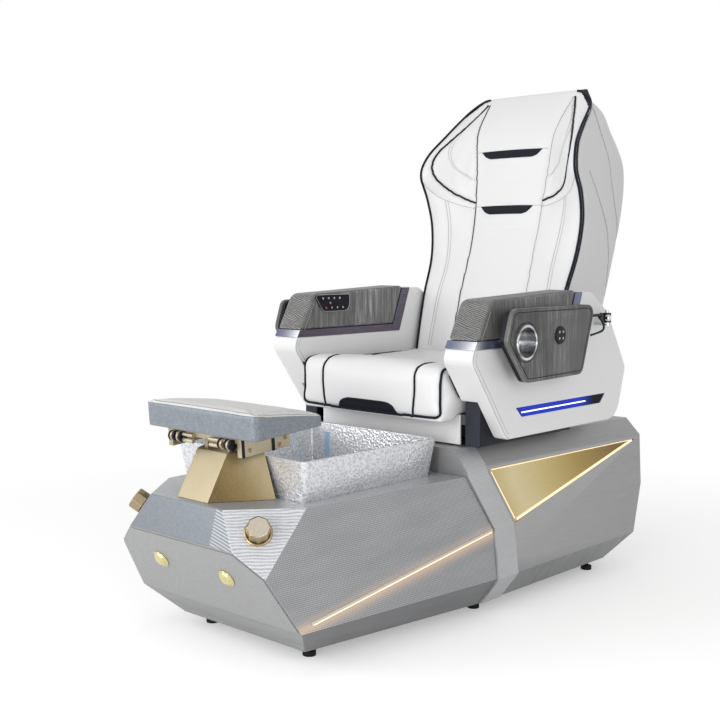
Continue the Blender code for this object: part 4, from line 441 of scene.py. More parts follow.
def tube(name, points, radius, finish):
    """A round cord or rod along points."""
    curve = bpy.data.curves.new(name, "CURVE")
    curve.dimensions = "3D"
    curve.bevel_depth = radius
    curve.bevel_resolution = 2
    curve.use_fill_caps = True
    spline = curve.splines.new("POLY")
    spline.points.add(len(points) - 1)
    for knot, point in zip(spline.points, points):
        knot.co = (*point, 1)
    pick(placed(name, curve))
    bpy.ops.object.convert(target="MESH")
    piece = bpy.context.active_object
    bpy.ops.object.shade_smooth()
    piece.data.materials.clear()
    piece.data.materials.append(finish)
    return piece


def cord(name, points, radius, finish, body):
    """Piping, a seam line or a rod that moves with a body."""
    carry(tube(name, points, radius, finish), body)


def mirrored(line):
    """The same line on the sitter's other side."""
    return np.array(line) * (-1, 1, 1)


def ease(share):
    return share * share * (3 - 2 * share)


def limited(value):
    """A value kept between 0 and 1."""
    return min(1.0, max(0.0, value))


# Finishes


class Net:
    """A node tree, with short ways to draw in it."""

    def __init__(self, tree):
        self.tree = tree

    def join(self, value, socket):
        """Link a value to a socket, or set it there."""
        if isinstance(value, bpy.types.NodeSocket):
            self.tree.links.new(value, socket)
        else:
            socket.default_value = value

    def node(self, kind, inputs=(), **settings):
        """A shader node with its settings, and its inputs set or linked."""
        made = self.tree.nodes.new("ShaderNode" + kind)
        for key, value in settings.items():
            setattr(made, key, value)
        for key, value in dict(inputs).items():
            self.join(value, made.inputs[key])
        return made

    def out(self, kind, inputs=(), **settings):
        """The first output of a new node."""
        return self.node(kind, inputs, **settings).outputs[0]

    def maths(self, operation, first, second=0.0):
        return self.out("Math", {0: first, 1: second}, operation=operation)

    def add(self, first, second):
        return self.maths("ADD", first, second)

    def times(self, first, second):
        return self.maths("MULTIPLY", first, second)

    def span(self, value, low, high, to_low=0.0, to_high=1.0):
        """A value moved from one range to another, kept inside it."""
        return self.out("MapRange", {0: value, 1: low, 2: high, 3: to_low, 4: to_high})

    def noise(self, where, scale, detail, rough=0.5):
        return self.out("TexNoise", {"Vector": where, "Scale": scale, "Detail": detail, "Roughness": rough})

    def mix(self, share, first, second):
        """Two colours mixed by a share."""
        first, second = ((*part, 1) if isinstance(part, tuple) else part for part in (first, second))
        return self.node("Mix", {0: share, 6: first, 7: second}, data_type="RGBA").outputs[2]

    def ramp(self, value, *stops):
        """A value turned into a colour by stops."""
        made = self.node("ValToRGB", {0: value})
        while len(made.color_ramp.elements) < len(stops):
            made.color_ramp.elements.new(0.5)
        for element, (place, colour) in zip(made.color_ramp.elements, stops):
            element.position = place
            element.color = (*colour, 1)
        return made.outputs[0]


def group(name, inputs, outputs):
    """An empty node group to draw in, its given values and the sockets for what it puts out."""
    tree = bpy.data.node_groups.new(name, "ShaderNodeTree")
    for label in inputs:
        kind = "NodeSocketVector" if label == "Vector" else "NodeSocketFloat"
        tree.interface.new_socket(label, in_out="INPUT", socket_type=kind)
    for label in outputs:
        tree.interface.new_socket(label, in_out="OUTPUT", socket_type="NodeSocketFloat")
    given = tree.nodes.new("NodeGroupInput").outputs
    return Net(tree), [given[label] for label in inputs], tree.nodes.new("NodeGroupOutput").inputs


def make_grain():
    """Fine pebble grain of leather and moulded plastic, with a slow change of tone."""
    net, (where, scale), made = group("fine_grain", ("Vector", "Scale"), ("Height", "Tone"))
    cells = net.node("TexVoronoi", {"Vector": where, "Scale": scale}).outputs["Distance"]
    creases = net.noise(where, net.times(scale, 0.25), 3.0)
    net.join(net.add(net.times(cells, 0.6), net.times(creases, 0.5)), made[0])
    net.join(net.noise(where, 9.0, 3.0), made[1])
    return net.tree


def make_brushing():
    """Long fine scratches; the stretch before it gives their direction."""
    net, (where, scale), made = group("brushing", ("Vector", "Scale"), ("Height", "Tone"))
    net.join(net.noise(where, scale, 4.0), made[0])
    net.join(net.noise(where, net.times(scale, 0.08), 2.0), made[1])
    return net.tree


def make_weave():
    """A small diamond weave that runs over the sides."""
    net, (where, pitch), made = group("diamond_weave", ("Vector", "Pitch"), ("Height",))
    y, z = net.node("SeparateXYZ", {0: where}).outputs[1:]
    turns = net.maths("DIVIDE", 2 * math.pi, pitch)
    rise = net.times(net.add(y, z), turns)
    fall = net.times(net.maths("SUBTRACT", y, z), turns)
    net.join(net.times(net.maths("SINE", rise), net.maths("SINE", fall)), made[0])
    return net.tree


def make_veneer():
    """Grey veneer: long fibres and dark pores across the given direction."""
    net, (where,), made = group("veneer", ("Vector",), ("Height", "Tone"))
    fibres = net.noise(where, 120.0, 6.0, 0.62)
    net.join(fibres, made[0])
    net.join(net.add(net.times(fibres, 0.7), net.times(net.noise(where, 28.0, 2.0), 0.3)), made[1])
    return net.tree


GRAIN = make_grain()
BRUSHING = make_brushing()
WEAVE = make_weave()
VENEER = make_veneer()


class Finish(Net):
    """A material with its shader, and places of the surface to draw on."""

    def __init__(self, name, colour, rough, metal=0.0, **plain):
        self.material = bpy.data.materials.new(name)
        self.material.use_nodes = True
        super().__init__(self.material.node_tree)
        self.shader = self.tree.nodes["Principled BSDF"]
        self.set("Base Color", (*colour, 1))
        self.set("Roughness", rough)
        self.set("Metallic", metal)
        for key, value in plain.items():
            self.set(key.replace("_", " "), value)

    def set(self, key, value):
        self.join(value, self.shader.inputs[key])

    def place(self, stretch=(1, 1, 1)):
        """Places of the object, stretched along its axes."""
        where = self.node("TexCoord").outputs["Object"]
        return self.out("Mapping", {"Vector": where, "Scale": stretch})

    def axis(self, number):
        """Places along one axis of the object."""
        return self.node("SeparateXYZ", {0: self.node("TexCoord").outputs["Object"]}).outputs[number]

    def effect(self, made_group, *values, stretch=(1, 1, 1)):
        """What a group draws at the surface's places with its own values."""
        inputs = dict(enumerate((self.place(stretch), *values)))
        return self.node("Group", inputs, node_tree=made_group).outputs

    def waves(self, stretch, scale, distortion, detail, detail_scale, direction):
        """Wavy lines."""
        return self.node("TexWave", {"Vector": self.place(stretch), "Scale": scale, "Distortion": distortion,
                                     "Detail": detail, "Detail Scale": detail_scale},
                         bands_direction=direction).outputs["Fac"]

    def worn_and_highlit(self, colour, share, light):
        """A colour made lighter along the edges: part scuffing from use, part painted highlight."""
        scuff_and_highlight = self.span(self.node("NewGeometry").outputs["Pointiness"], 0.5, 0.6)
        return self.mix(self.times(scuff_and_highlight, share), colour, light)

    def glow(self, colour, strength):
        self.set("Emission Color", colour)
        self.set("Emission Strength", strength)

    def done(self, colour, rough, height=None, strength=0.0, distance=0.0004):
        """Draw the colour, the roughness and the relief, and give the material."""
        self.set("Base Color", colour)
        self.set("Roughness", self.span(*rough))
        if height is not None:
            relief = {"Height": height, "Strength": strength, "Distance": distance}
            self.set("Normal", self.out("Bump", relief))
        return self.material


def scaled(values, share):
    return tuple(share * part for part in values)


def leather(name, colour, rough=0.44, scale=620.0, strength=0.22, gloss=0.38):
    """Soft upholstery leather."""
    finish = Finish(name, colour, rough, Specular_IOR_Level=gloss)
    height, tone = finish.effect(GRAIN, scale)
    return finish.done(finish.mix(tone, scaled(colour, 0.975), colour),
                       (height, 0.2, 0.9, rough + 0.06, rough - 0.06), height, strength)


def moulding(name, colour, rough, scale=260.0, strength=0.05, edge_wear_and_highlight=0.06, gloss=0.5):
    """Moulded or painted surface with a faint texture and lighter edges, part scuffing and part painted
    highlight.
    """
    finish = Finish(name, colour, rough, Specular_IOR_Level=gloss)
    height, tone = finish.effect(GRAIN, scale)
    plain = finish.mix(tone, scaled(colour, 0.985), colour)
    return finish.done(finish.worn_and_highlit(plain, edge_wear_and_highlight, (1.0, 1.0, 1.0)),
                       (tone, 0.3, 0.7, rough - 0.02, rough + 0.03), height, strength)


def speckled(name, dark, light, rough, scale, metal=0.0, strength=0.3):
    """Painted sheet with a fine metallic speckle."""
    finish = Finish(name, light, rough, metal)
    height = finish.effect(GRAIN, scale)[0]
    return finish.done(finish.mix(finish.span(height, 0.35, 0.75), dark, light),
                       (height, 0.3, 0.8, rough + 0.08, rough - 0.05), height, strength)


def wavy(name, dark, light, rough, metal):
    """Silver sheet with soft wavy lines that run level across it."""
    finish = Finish(name, light, rough, metal)
    lines = finish.waves((0.3, 0.3, 1), 52.0, 4.5, 2.0, 1.2, "Z")
    height = finish.effect(GRAIN, 380.0)[0]
    shade = finish.add(finish.times(lines, 0.8), finish.span(height, 0.3, 0.8, 0.0, 0.25))
    return finish.done(finish.mix(shade, dark, light), (lines, 0.0, 1.0, rough + 0.08, rough - 0.04),
                       lines, 0.25, 0.0010)


def nose_sheet(name):
    """Grey-blue sheet of the nose; its end on the sitter's left is ruled with fine lines."""
    finish = Finish(name, (0.29, 0.32, 0.355), 0.36, 0.3)
    height = finish.effect(GRAIN, 620.0)[0]
    plain = finish.mix(finish.span(height, 0.35, 0.75), (0.150, 0.170, 0.195), (0.230, 0.250, 0.272))
    slant = finish.add(finish.times(finish.axis(0), 0.20), finish.axis(2))
    lines = finish.maths("SINE", finish.times(slant, 2 * math.pi / 0.0066))
    ruled = finish.times(finish.span(lines, -0.2, 0.7), finish.span(finish.axis(0), 0.107, 0.109))
    return finish.done(finish.mix(ruled, plain, (0.43, 0.45, 0.475)),
                       (height, 0.3, 0.8, 0.44, 0.30), height, 0.3)


def post_gold(name):
    """Gold side of the post with painted shade and light: deep at its front edge, paler towards the bath and
    upwards.
    """
    finish = Finish(name, (0.26, 0.185, 0.07), 0.30, 0.45)
    height, tone = finish.effect(BRUSHING, 420.0, stretch=(1, 1, 0.04))
    # Painted shade and light: the ramp runs dark at the front edge to pale towards the rear and the top.
    along = finish.add(finish.span(finish.axis(1), -0.69, -0.565),
                       finish.span(finish.axis(2), 0.375, 0.48, -0.15, 0.20))
    gold = finish.ramp(along, (0.05, (0.100, 0.062, 0.012)), (0.45, (0.172, 0.116, 0.034)),
                       (0.95, (0.285, 0.232, 0.135)))
    return finish.done(finish.mix(finish.span(height, 0.3, 0.7, 0.0, 0.12), gold, (0.5, 0.4, 0.2)),
                       (tone, 0.3, 0.7, 0.26, 0.36), height, 0.06)


def pocket_gold(name):
    """Gold plate of a side pocket with painted light and shade: pale at its front, amber towards its tip."""
    finish = Finish(name, (0.50, 0.38, 0.12), 0.30, 0.55)
    height, tone = finish.effect(BRUSHING, 60.0, stretch=(0.4, 0.12, 0.4))
    # Painted light and shade: pale at the plate's front, darkening to amber at its rear tip, with a little
    # random change.
    along = finish.add(finish.span(finish.axis(1), 0.02, 0.70), finish.span(tone, 0.3, 0.7, -0.10, 0.10))
    gold = finish.ramp(along, (0.0, (0.47, 0.36, 0.12)), (0.16, (0.66, 0.56, 0.33)),
                       (0.34, (0.55, 0.44, 0.19)), (0.55, (0.38, 0.265, 0.08)), (0.85, (0.19, 0.12, 0.03)))
    return finish.done(gold, (height, 0.3, 0.7, 0.22, 0.38), height, 0.05)


def trim_metal(name, colour, painted_glint):
    """Satin trim, with a painted highlight: a bright spot painted into its colour at each armrest's front
    outer corner.
    """
    finish = Finish(name, colour, 0.26, 0.55)
    height, tone = finish.effect(BRUSHING, 500.0, stretch=(1, 0.03, 1))
    plain = finish.mix(finish.span(height, 0.3, 0.7), scaled(colour, 0.88), scaled(colour, 1.12))
    # Painted highlight: the colour turns pale towards the front outer corner of each armrest.
    side = finish.times(finish.maths("SIGN", finish.axis(0)), 0.308)
    across = finish.span(finish.maths("SUBTRACT", finish.axis(0), side), -0.045, 0.043)
    ahead = finish.span(finish.axis(1), -0.060, -0.108)
    bright = finish.times(finish.maths("POWER", across, 2.2), finish.maths("POWER", ahead, 1.5))
    return finish.done(finish.mix(finish.times(bright, painted_glint), plain, (0.92, 0.93, 0.97)),
                       (tone, 0.3, 0.7, 0.20, 0.33), height, 0.05)


def brushed(name, colour, rough, metal, scale, stretch, change=0.12, strength=0.08, edge_wear_and_highlight=0.15):
    """Metal with fine brushing along one direction and lighter edges, part scuffing and part painted
    highlight.
    """
    finish = Finish(name, colour, rough, metal)
    height, tone = finish.effect(BRUSHING, scale, stretch=stretch)
    plain = finish.mix(finish.span(height, 0.3, 0.7), scaled(colour, 1 - change), scaled(colour, 1 + change))
    return finish.done(finish.worn_and_highlit(plain, edge_wear_and_highlight, (1.0, 0.98, 0.94)),
                       (tone, 0.3, 0.7, rough - 0.05, rough + 0.07), height, strength)


def woven(name, dark, light, pitch, rough, metal, lit=False):
    """Woven metallic sheet; on the front sides a painted glow stands for the warm light of their light bar.
    """
    finish = Finish(name, light, rough, metal)
    weave = finish.effect(WEAVE, pitch)[0]
    slow = finish.effect(BRUSHING, 24.0, stretch=(1, 0.25, 1))[0]
    shade = finish.times(finish.span(weave, -0.7, 0.7, 0.15, 1.0), finish.span(slow, 0.25, 0.75, 0.70, 1.0))
    if lit:
        # Painted light: a warm emission on the sheet, full within 4 mm of the light bar's line and gone at 34
        # mm.
        by_y, by_z, shift = LIGHT_BAR_LINE
        from_line = finish.add(finish.times(finish.axis(1), by_y), finish.times(finish.axis(2), by_z))
        painted_glow_share = finish.span(finish.maths("ABSOLUTE", finish.add(from_line, shift)), 0.004, 0.034, 1.0, 0.0)
        finish.glow(finish.mix(finish.maths("POWER", painted_glow_share, 2.0), (0, 0, 0), (1.0, 0.55, 0.22)), 0.30)
    return finish.done(finish.mix(shade, dark, light),
                       (weave, -0.7, 0.7, rough + 0.1, rough - 0.06), weave, 0.35)


def veneer(name, stretch, depth=1.0):
    """Grey oak veneer; the stretch says which way its fibres run, and its depth scales the greys: copies with
    another depth carry painted light (above 1) and painted shade (below 1).
    """
    finish = Finish(name, (0.10, 0.10, 0.10), 0.42, Coat_Weight=0.15, Coat_Roughness=0.3)
    wide = finish.effect(VENEER, stretch=stretch)[1]
    height, fine = finish.effect(VENEER, stretch=scaled(stretch, 3.1))
    clouds = finish.noise(finish.place((1, 1, 0.6)), 9.0, 3.0)
    tone = finish.add(finish.add(finish.times(wide, 0.35), finish.times(fine, 0.65)),
                      finish.span(clouds, 0.3, 0.7, -0.05, 0.05))
    greys = ((0.34, 0.018), (0.45, 0.072), (0.54, 0.140), (0.64, 0.40))
    stops = [(place, (depth * grey, depth * grey, 0.98 * depth * grey)) for place, grey in greys]
    return finish.done(finish.ramp(tone, *stops), (fine, 0.3, 0.7, 0.54, 0.38), height, 0.3, 0.0005)


def ringed_veneer(name):
    """Grey oak veneer cut flat, so that its rings show as level wavy lines."""
    finish = Finish(name, (0.10, 0.10, 0.10), 0.42, Coat_Weight=0.15, Coat_Roughness=0.3)
    lines = finish.waves((0.30, 0.62, 1), 118.0, 13.0, 4.0, 0.30, "DIAGONAL")
    wood = finish.effect(VENEER, stretch=(0.3, 1, 1))[1]
    tone = finish.add(finish.times(lines, 0.62), finish.times(wood, 0.5))
    greys = finish.ramp(tone, (0.22, (0.040, 0.040, 0.039)), (0.45, (0.110, 0.109, 0.106)),
                        (0.72, (0.175, 0.174, 0.170)), (0.92, (0.36, 0.355, 0.345)))
    return finish.done(greys, (lines, 0.0, 1.0, 0.54, 0.40), lines, 0.2, 0.0005)


def hammered(name):
    """Beaten metal of the bath, in small round dents."""
    finish = Finish(name, (0.56, 0.57, 0.59), 0.26, 0.6)
    dents = finish.node("TexVoronoi", {"Vector": finish.place(), "Scale": 170.0}, feature="SMOOTH_F1")
    fine = finish.node("TexVoronoi", {"Vector": finish.place(), "Scale": 380.0})
    tone = finish.effect(GRAIN, 500.0)[1]
    shade = finish.times(finish.span(dents.outputs["Distance"], 0.05, 0.5),
                         finish.span(fine.outputs["Distance"], 0.1, 0.6, 0.55, 1.0))
    return finish.done(finish.mix(shade, (0.43, 0.44, 0.455), (0.80, 0.81, 0.84)),
                       (tone, 0.3, 0.7, 0.22, 0.36), dents.outputs["Distance"], 0.5, 0.0020)


def lamp(name, colour, strength):
    """A lit strip behind a diffuser."""
    finish = Finish(name, scaled(colour, 0.8), 0.4)
    tone = finish.effect(GRAIN, 300.0)[1]
    finish.glow(finish.mix(tone, scaled(colour, 0.9), colour), strength)
    return finish.material


def blue_recess(name):
    """Blue lit recess of the armrest that ends dark at its rear."""
    finish = Finish(name, (0.004, 0.006, 0.05), 0.35, Specular_IOR_Level=0.06)
    rear = finish.span(finish.axis(1), 0.36, 0.43)
    front = finish.span(finish.axis(1), 0.092, 0.066)
    blue = finish.mix(finish.effect(GRAIN, 300.0)[1], (0.012, 0.030, 0.40), (0.020, 0.048, 0.56))
    ends = finish.maths("MAXIMUM", rear, finish.times(front, 0.7))
    finish.glow(finish.mix(ends, blue, (0.001, 0.001, 0.004)), 0.95)
    finish.set("Base Color", finish.mix(ends, (0.004, 0.006, 0.05), (0.003, 0.003, 0.006)))
    return finish.material


def painted_reflection_metal(name, middle, half):
    """Polished cup with a painted reflection: level bands, bright and dark, painted into its colour as a
    mirrored room.
    """
    finish = Finish(name, (0.7, 0.7, 0.72), 0.16, 0.85)
    height = finish.effect(BRUSHING, 160.0, stretch=(0.1, 0.1, 1))[0]
    # Painted reflection: light and dark bands by height in the base colour.
    bands = finish.ramp(finish.span(finish.axis(2), middle - half, middle + half),
                        (0.0, (0.72, 0.73, 0.75)), (0.16, (0.16, 0.165, 0.175)), (0.36, (0.50, 0.51, 0.52)),
                        (0.46, (0.97, 0.97, 0.98)), (0.53, (0.40, 0.41, 0.42)), (0.68, (0.78, 0.79, 0.80)),
                        (0.82, (0.22, 0.225, 0.235)), (1.0, (0.60, 0.61, 0.63)))
    return finish.done(bands, (height, 0.3, 0.7, 0.12, 0.24))


def keyed_metal(name, colour, rough, bands):
    """Polished metal with soft turned bands."""
    finish = Finish(name, colour, rough, 1.0)
    height, tone = finish.effect(BRUSHING, 160.0, stretch=bands)
    return finish.done(finish.mix(finish.span(tone, 0.35, 0.65), scaled(colour, 0.55), colour),
                       (height, 0.3, 0.7, rough, rough + 0.08))


WHITE_LEATHER = leather("white_leather", (0.83, 0.83, 0.835))
# A darker copy of the white leather: painted shade of the back's shell.
SHELL_LEATHER_PAINTED_SHADE = leather("shell_leather", (0.69, 0.69, 0.692))
# Grey copy of the white leather for the stitched ridges: painted shade that makes them show.
WELT_PAINTED_SHADE = leather("welt_leather", (0.56, 0.56, 0.565))
BLACK_LEATHER = leather("black_leather", (0.011, 0.013, 0.019), 0.52, 800.0, 0.3, 0.12)
WHITE_SHELL = moulding("white_moulding", (0.82, 0.82, 0.825), 0.30, 180.0, 0.03)
SEAM_GREY = moulding("seam_grey", (0.34, 0.34, 0.35), 0.5, 300.0, 0.05)
PANEL_GREY = speckled("panel_grey", (0.285, 0.287, 0.290), (0.330, 0.332, 0.335), 0.36, 420.0, 0.1, 0.1)
NOSE_DECK = speckled("nose_deck", (0.345, 0.355, 0.37), (0.45, 0.46, 0.475), 0.32, 260.0, 0.1, 0.12)
REAR_DECK = speckled("rear_deck", (0.30, 0.30, 0.30), (0.41, 0.41, 0.415), 0.40, 60.0, 0.2, 0.08)
INSIDE_GREY = moulding("inside_grey", (0.30, 0.30, 0.305), 0.6, 300.0, 0.2)
BLACK_PLASTIC = moulding("black_plastic", (0.008, 0.009, 0.013), 0.36, 500.0, 0.06, 0.0, 0.16)
BLACK_TEXTURED = moulding("black_textured", (0.024, 0.028, 0.040), 0.60, 420.0, 0.6, 0.02, 0.15)
RUBBER = moulding("rubber", (0.010, 0.010, 0.011), 0.7, 600.0, 0.4, 0.0, 0.2)
STEEL_PAINT = moulding("painted_steel", (0.05, 0.052, 0.056), 0.42, 500.0, 0.2)
# The base's front sides carry the painted glow of their light bar.
WOVEN_SIDE = woven("woven_side", (0.17, 0.174, 0.18), (0.47, 0.475, 0.485), 0.0085, 0.38, 0.35, lit=True)
# A darker copy of the side weave for the base's lower outer facets, which face down: painted shade.
WOVEN_LOW_PAINTED_SHADE = woven("woven_low", (0.085, 0.087, 0.091), (0.30, 0.303, 0.31), 0.0085, 0.45, 0.3)
WOVEN_BAND = woven("woven_band", (0.30, 0.304, 0.31), (0.62, 0.625, 0.635), 0.0085, 0.34, 0.35)
WAVY_SILVER = wavy("wavy_silver", (0.36, 0.375, 0.40), (0.74, 0.75, 0.775), 0.30, 0.25)
REAR_GREY = brushed("rear_grey", (0.295, 0.297, 0.302), 0.40, 0.30, 300.0, (0.05, 0.05, 1), 0.06, 0.05)
NOSE_SHEET = nose_sheet("nose_sheet")
BEVEL_GREY = brushed("bevel_grey", (0.215, 0.22, 0.225), 0.42, 0.25, 420.0, (0.03, 1, 0.03), 0.30, 0.2)
CHAMPAGNE = brushed("champagne_gold", (0.385, 0.315, 0.18), 0.32, 0.6, 420.0, (1, 1, 0.04), 0.07, 0.06, 0.2)
RECESS_GOLD = pocket_gold("recess_gold")
POST_GOLD = post_gold("post_gold")
OLD_BRASS = brushed("old_brass", (0.27, 0.185, 0.062), 0.22, 0.8, 200.0, (1, 1, 1), 0.25, 0.15, 0.4)
DOME_GOLD = brushed("dome_gold", (0.66, 0.58, 0.28), 0.2, 0.75, 160.0, (1, 1, 1), 0.1, 0.05)
# The outer trims get the painted highlight at full share, the inner trims none.
TRIM_SATIN = trim_metal("satin_trim", (0.145, 0.165, 0.25), 1.0)
TRIM_INNER = trim_metal("satin_trim_inner", (0.125, 0.108, 0.14), 0.0)
# Lighter and darker copies of one veneer: upright sides 1.30 for painted light, trays 0.58 and cap tops 0.62
# for painted shade.
VENEER_UPRIGHT_PAINTED_LIGHT = veneer("veneer_upright", (2.2, 2.2, 0.05), 1.30)
VENEER_WRAPPED = ringed_veneer("veneer_wrapped")
VENEER_TRAY_PAINTED_SHADE = veneer("veneer_tray", (2.2, 2.2, 0.05), 0.58)
VENEER_TOP_PAINTED_SHADE = veneer("veneer_top", (2.2, 0.08, 2.2), 0.62)
VENEER_LAYERS = veneer("veneer_layers", (3.2, 0.06, 0.06))
CAP_EDGE = moulding("cap_edge", (0.30, 0.295, 0.28), 0.4, 300.0, 0.1)
CUP_CHROME = painted_reflection_metal("cup_chrome", 0.712, 0.042)
HAMMERED = hammered("hammered_silver")
CHROME = keyed_metal("chrome", (0.78, 0.79, 0.81), 0.10, (0.1, 0.1, 1))
STEEL_BUTTON = keyed_metal("silver_button", (0.62, 0.63, 0.66), 0.2, (1, 1, 1))
RED_BUTTON = moulding("red_button", (0.45, 0.015, 0.02), 0.28, 300.0, 0.05)
PAD_GREY = speckled("pad_grey", (0.152, 0.172, 0.197), (0.25, 0.273, 0.302), 0.40, 420.0, 0.1, 0.4)
PAD_CREAM = speckled("pad_cream", (0.60, 0.60, 0.585), (0.72, 0.72, 0.705), 0.45, 420.0, 0.0, 0.4)
BLUE_STRIP = moulding("blue_strip", (0.33, 0.55, 0.80), 0.25, 300.0, 0.05)
WARM_LIGHT = lamp("warm_light", (1.0, 0.80, 0.52), 0.80)
LIGHT_RIM = moulding("light_rim", (0.62, 0.60, 0.55), 0.4, 300.0, 0.05)
WHITE_LIGHT = lamp("white_light", (0.92, 0.95, 1.0), 1.5)
BLUE_LIGHT = blue_recess("blue_light")


# The room


def aimed(name, data, at, aim):
    """A camera or lamp at a place that looks at another."""
    piece = placed(name, data)
    piece.location = at
    piece.rotation_euler = (Vector(aim) - Vector(at)).to_track_quat("-Z", "Y").to_euler()
    return piece


def make_camera():
    data = bpy.data.cameras.new("photo_camera")
    data.lens = LENS
    data.sensor_width = SENSOR_WIDTH
    bpy.context.scene.camera = aimed("photo_camera", data, EYE, AIM)


def make_light(name, at, aim, size, power):
    data = bpy.data.lights.new(name, "AREA")
    data.shape = "DISK"
    data.size = size
    data.energy = power
    aimed(name, data, at, aim)


def seen_white(net):
    """One for what the camera, or a mirror or glass, sees straight; nothing for other rays."""
    path = net.node("LightPath").outputs
    first = net.maths("MAXIMUM", path["Is Camera Ray"], path["Is Glossy Ray"])
    return net.maths("MAXIMUM", first, path["Is Transmission Ray"])


def emptied(block):
    """The node tree of a world or material, emptied."""
    block.use_nodes = True
    block.node_tree.nodes.clear()
    return Net(block.node_tree)


def make_room():
    """A white studio: pale floor with the chair's shadow, soft lamps, white all round."""
    bpy.context.scene.world = bpy.data.worlds.new("studio")
    net = emptied(bpy.context.scene.world)
    soft = net.out("Background", {"Color": WHITE, "Strength": 0.54})
    white = net.out("Background", {"Color": WHITE, "Strength": 1.0})
    net.node("OutputWorld", {0: net.out("MixShader", {0: seen_white(net), 1: soft, 2: white})})
    bpy.ops.object.select_all(action="DESELECT")
    bpy.ops.mesh.primitive_plane_add(size=24)
    floor = bpy.context.active_object
    floor.name = "floor"
    finish = bpy.data.materials.new("floor_white")
    net = emptied(finish)
    plain = net.out("BsdfDiffuse", {"Color": FLOOR_GREY})
    lit = net.out("AddShader", {0: plain, 1: net.out("Emission", {"Color": WHITE, "Strength": 0.36})})
    white = net.out("Emission", {"Color": WHITE, "Strength": 1.0})
    where = net.node("TexCoord").outputs["Object"]
    reach = net.node("VectorMath", {0: where}, operation="LENGTH").outputs["Value"]
    near_or_far = net.out("MixShader", {0: net.span(reach, 0.9, 2.2), 1: lit, 2: white})
    net.node("OutputMaterial", {0: net.out("MixShader", {0: seen_white(net), 1: plain, 2: near_or_far})})
    floor.data.materials.append(finish)
    make_light("key", (-1.6, -3.0, 1.5), (0, 0, 0.7), 1.8, 30)
    make_light("fill", (2.9, -0.9, 1.3), (0, 0, 0.6), 2.2, 18)
    make_light("front", (0.6, -3.4, 0.8), (0, 0, 0.5), 2.0, 46)
    make_light("top", (0.2, 0.6, 3.0), (0, 0.1, 0.8), 2.0, 4)
    bpy.context.scene.view_settings.view_transform = "Standard"


# Base and bath


def band_end(z):
    """Where the band behind the base's seam ends: it slants between the kinks, and is steep elsewhere."""
    if z > KINK_HIGH:
        return 0.022 - 0.216 * (z - KINK_HIGH)
    if z > KINK_LOW:
        return 0.022 + 0.542 * (KINK_HIGH - z)
    return 0.0900 + 0.0477 * (z - 0.03)


def make_base():
    """Nose and tail mouldings, light bars, gold pockets, domes, feet and frame."""
    def outward(middle, normal):
        return normal.x * middle.x > 0

    def side(middle, normal):
        return outward(middle, normal) and abs(normal.x) > 0.93

    def corner(middle, normal):
        slanted = 0.2 < abs(normal.x) <= 0.93
        return slanted and outward(middle, normal) and normal.y < -0.15 and normal.z > -0.25

    def nose(middle, normal):
        return abs(normal.x) < 0.2 and normal.y < -0.3 and normal.z > 0.15 and middle.y < -0.69

    def bottom(middle, normal):
        return normal.z < -0.3 and middle.z < 0.103

    def side_bottom(middle, normal):
        return bottom(middle, normal) and outward(middle, normal) and abs(normal.x) > 0.5

    def deck(middle, normal):
        return normal.z > 0.8

    def band(middle, normal):
        return outward(middle, normal) and abs(middle.x) > 0.25 and middle.y < band_end(middle.z) + 0.001

    softened("front_shell", INSIDE_GREY, 0.0025, 2, 20,
             ((WOVEN_SIDE, side), (WAVY_SILVER, corner), (NOSE_SHEET, nose), (BEVEL_GREY, bottom),
              (WOVEN_LOW_PAINTED_SHADE, side_bottom), (NOSE_DECK, deck)))
    softened("rear_shell", REAR_GREY, 0.002, 2, 20,
             ((BEVEL_GREY, bottom), (REAR_DECK, deck), (WOVEN_BAND, band)))
    softened("front_panel", PANEL_GREY, 0.0012, 2, 30)
    for name, sign in SIDES:
        make_side_light(name, sign)
        softened(f"recess_panel_{name}", RECESS_GOLD, 0.0006)
        make_recess_lights(name, sign)
        foot = Vector((sign * 0.118, -0.6985, 0.2139))
        dome = fitting(f"nose_dome_{name}", foot + PANEL_NORMAL * 0.0015, PANEL_NORMAL, (0.0225, 0.003, 32),
                       ((0.0032, 0), (0.0012, 0.0030), (0.0050, 0.0034), (0.0070, 0.0018)), DOME_GOLD,
                       (0.0012, 3, 18, 60))
        carry(dome, "base")
    for place in ("front", "mid", "rear"):
        for name, sign in SIDES:
            softened(f"foot_{place}_{name}", RUBBER, 0.0012, 2, 40)
    for name in ("base_frame", "slide_motor", "slide_rail_left", "slide_rail_right"):
        softened(name, BLACK_PLASTIC if name == "slide_motor" else STEEL_PAINT, 0.0015, 2, 40)


def make_side_light(name, sign):
    """A slanted light bar: a thin lit line in a pale rim."""
    def outer(middle, normal):
        return normal.x * sign > 0.85

    piece = copy_of(f"side_light_{name}")
    edit(piece, insets((0.0028, 0)), outer)
    paint(piece, LIGHT_RIM)
    piece.data.materials.append(WARM_LIGHT)
    faces = [face for face in piece.data.polygons if outer(face.center, face.normal)]
    max(faces, key=lambda face: face.area).material_index = 1
    round_edges(piece, 0)
    stand_for(piece, f"side_light_{name}")


def make_recess_lights(name, sign):
    """Warm strips along the three edges of a gold pocket."""
    corners = [Vector((sign * x, y, z)) for x, y, z in POCKET_CORNERS]
    for number, radius in enumerate((0.0016, 0.0036, 0.0013)):
        start = corners[number]
        end = corners[(number + 1) % 3]
        inset = (end - start).normalized() * 0.006
        cord(f"pocket_light_{name}_{number + 1}", [start + inset, end - inset], radius, WARM_LIGHT, "base")


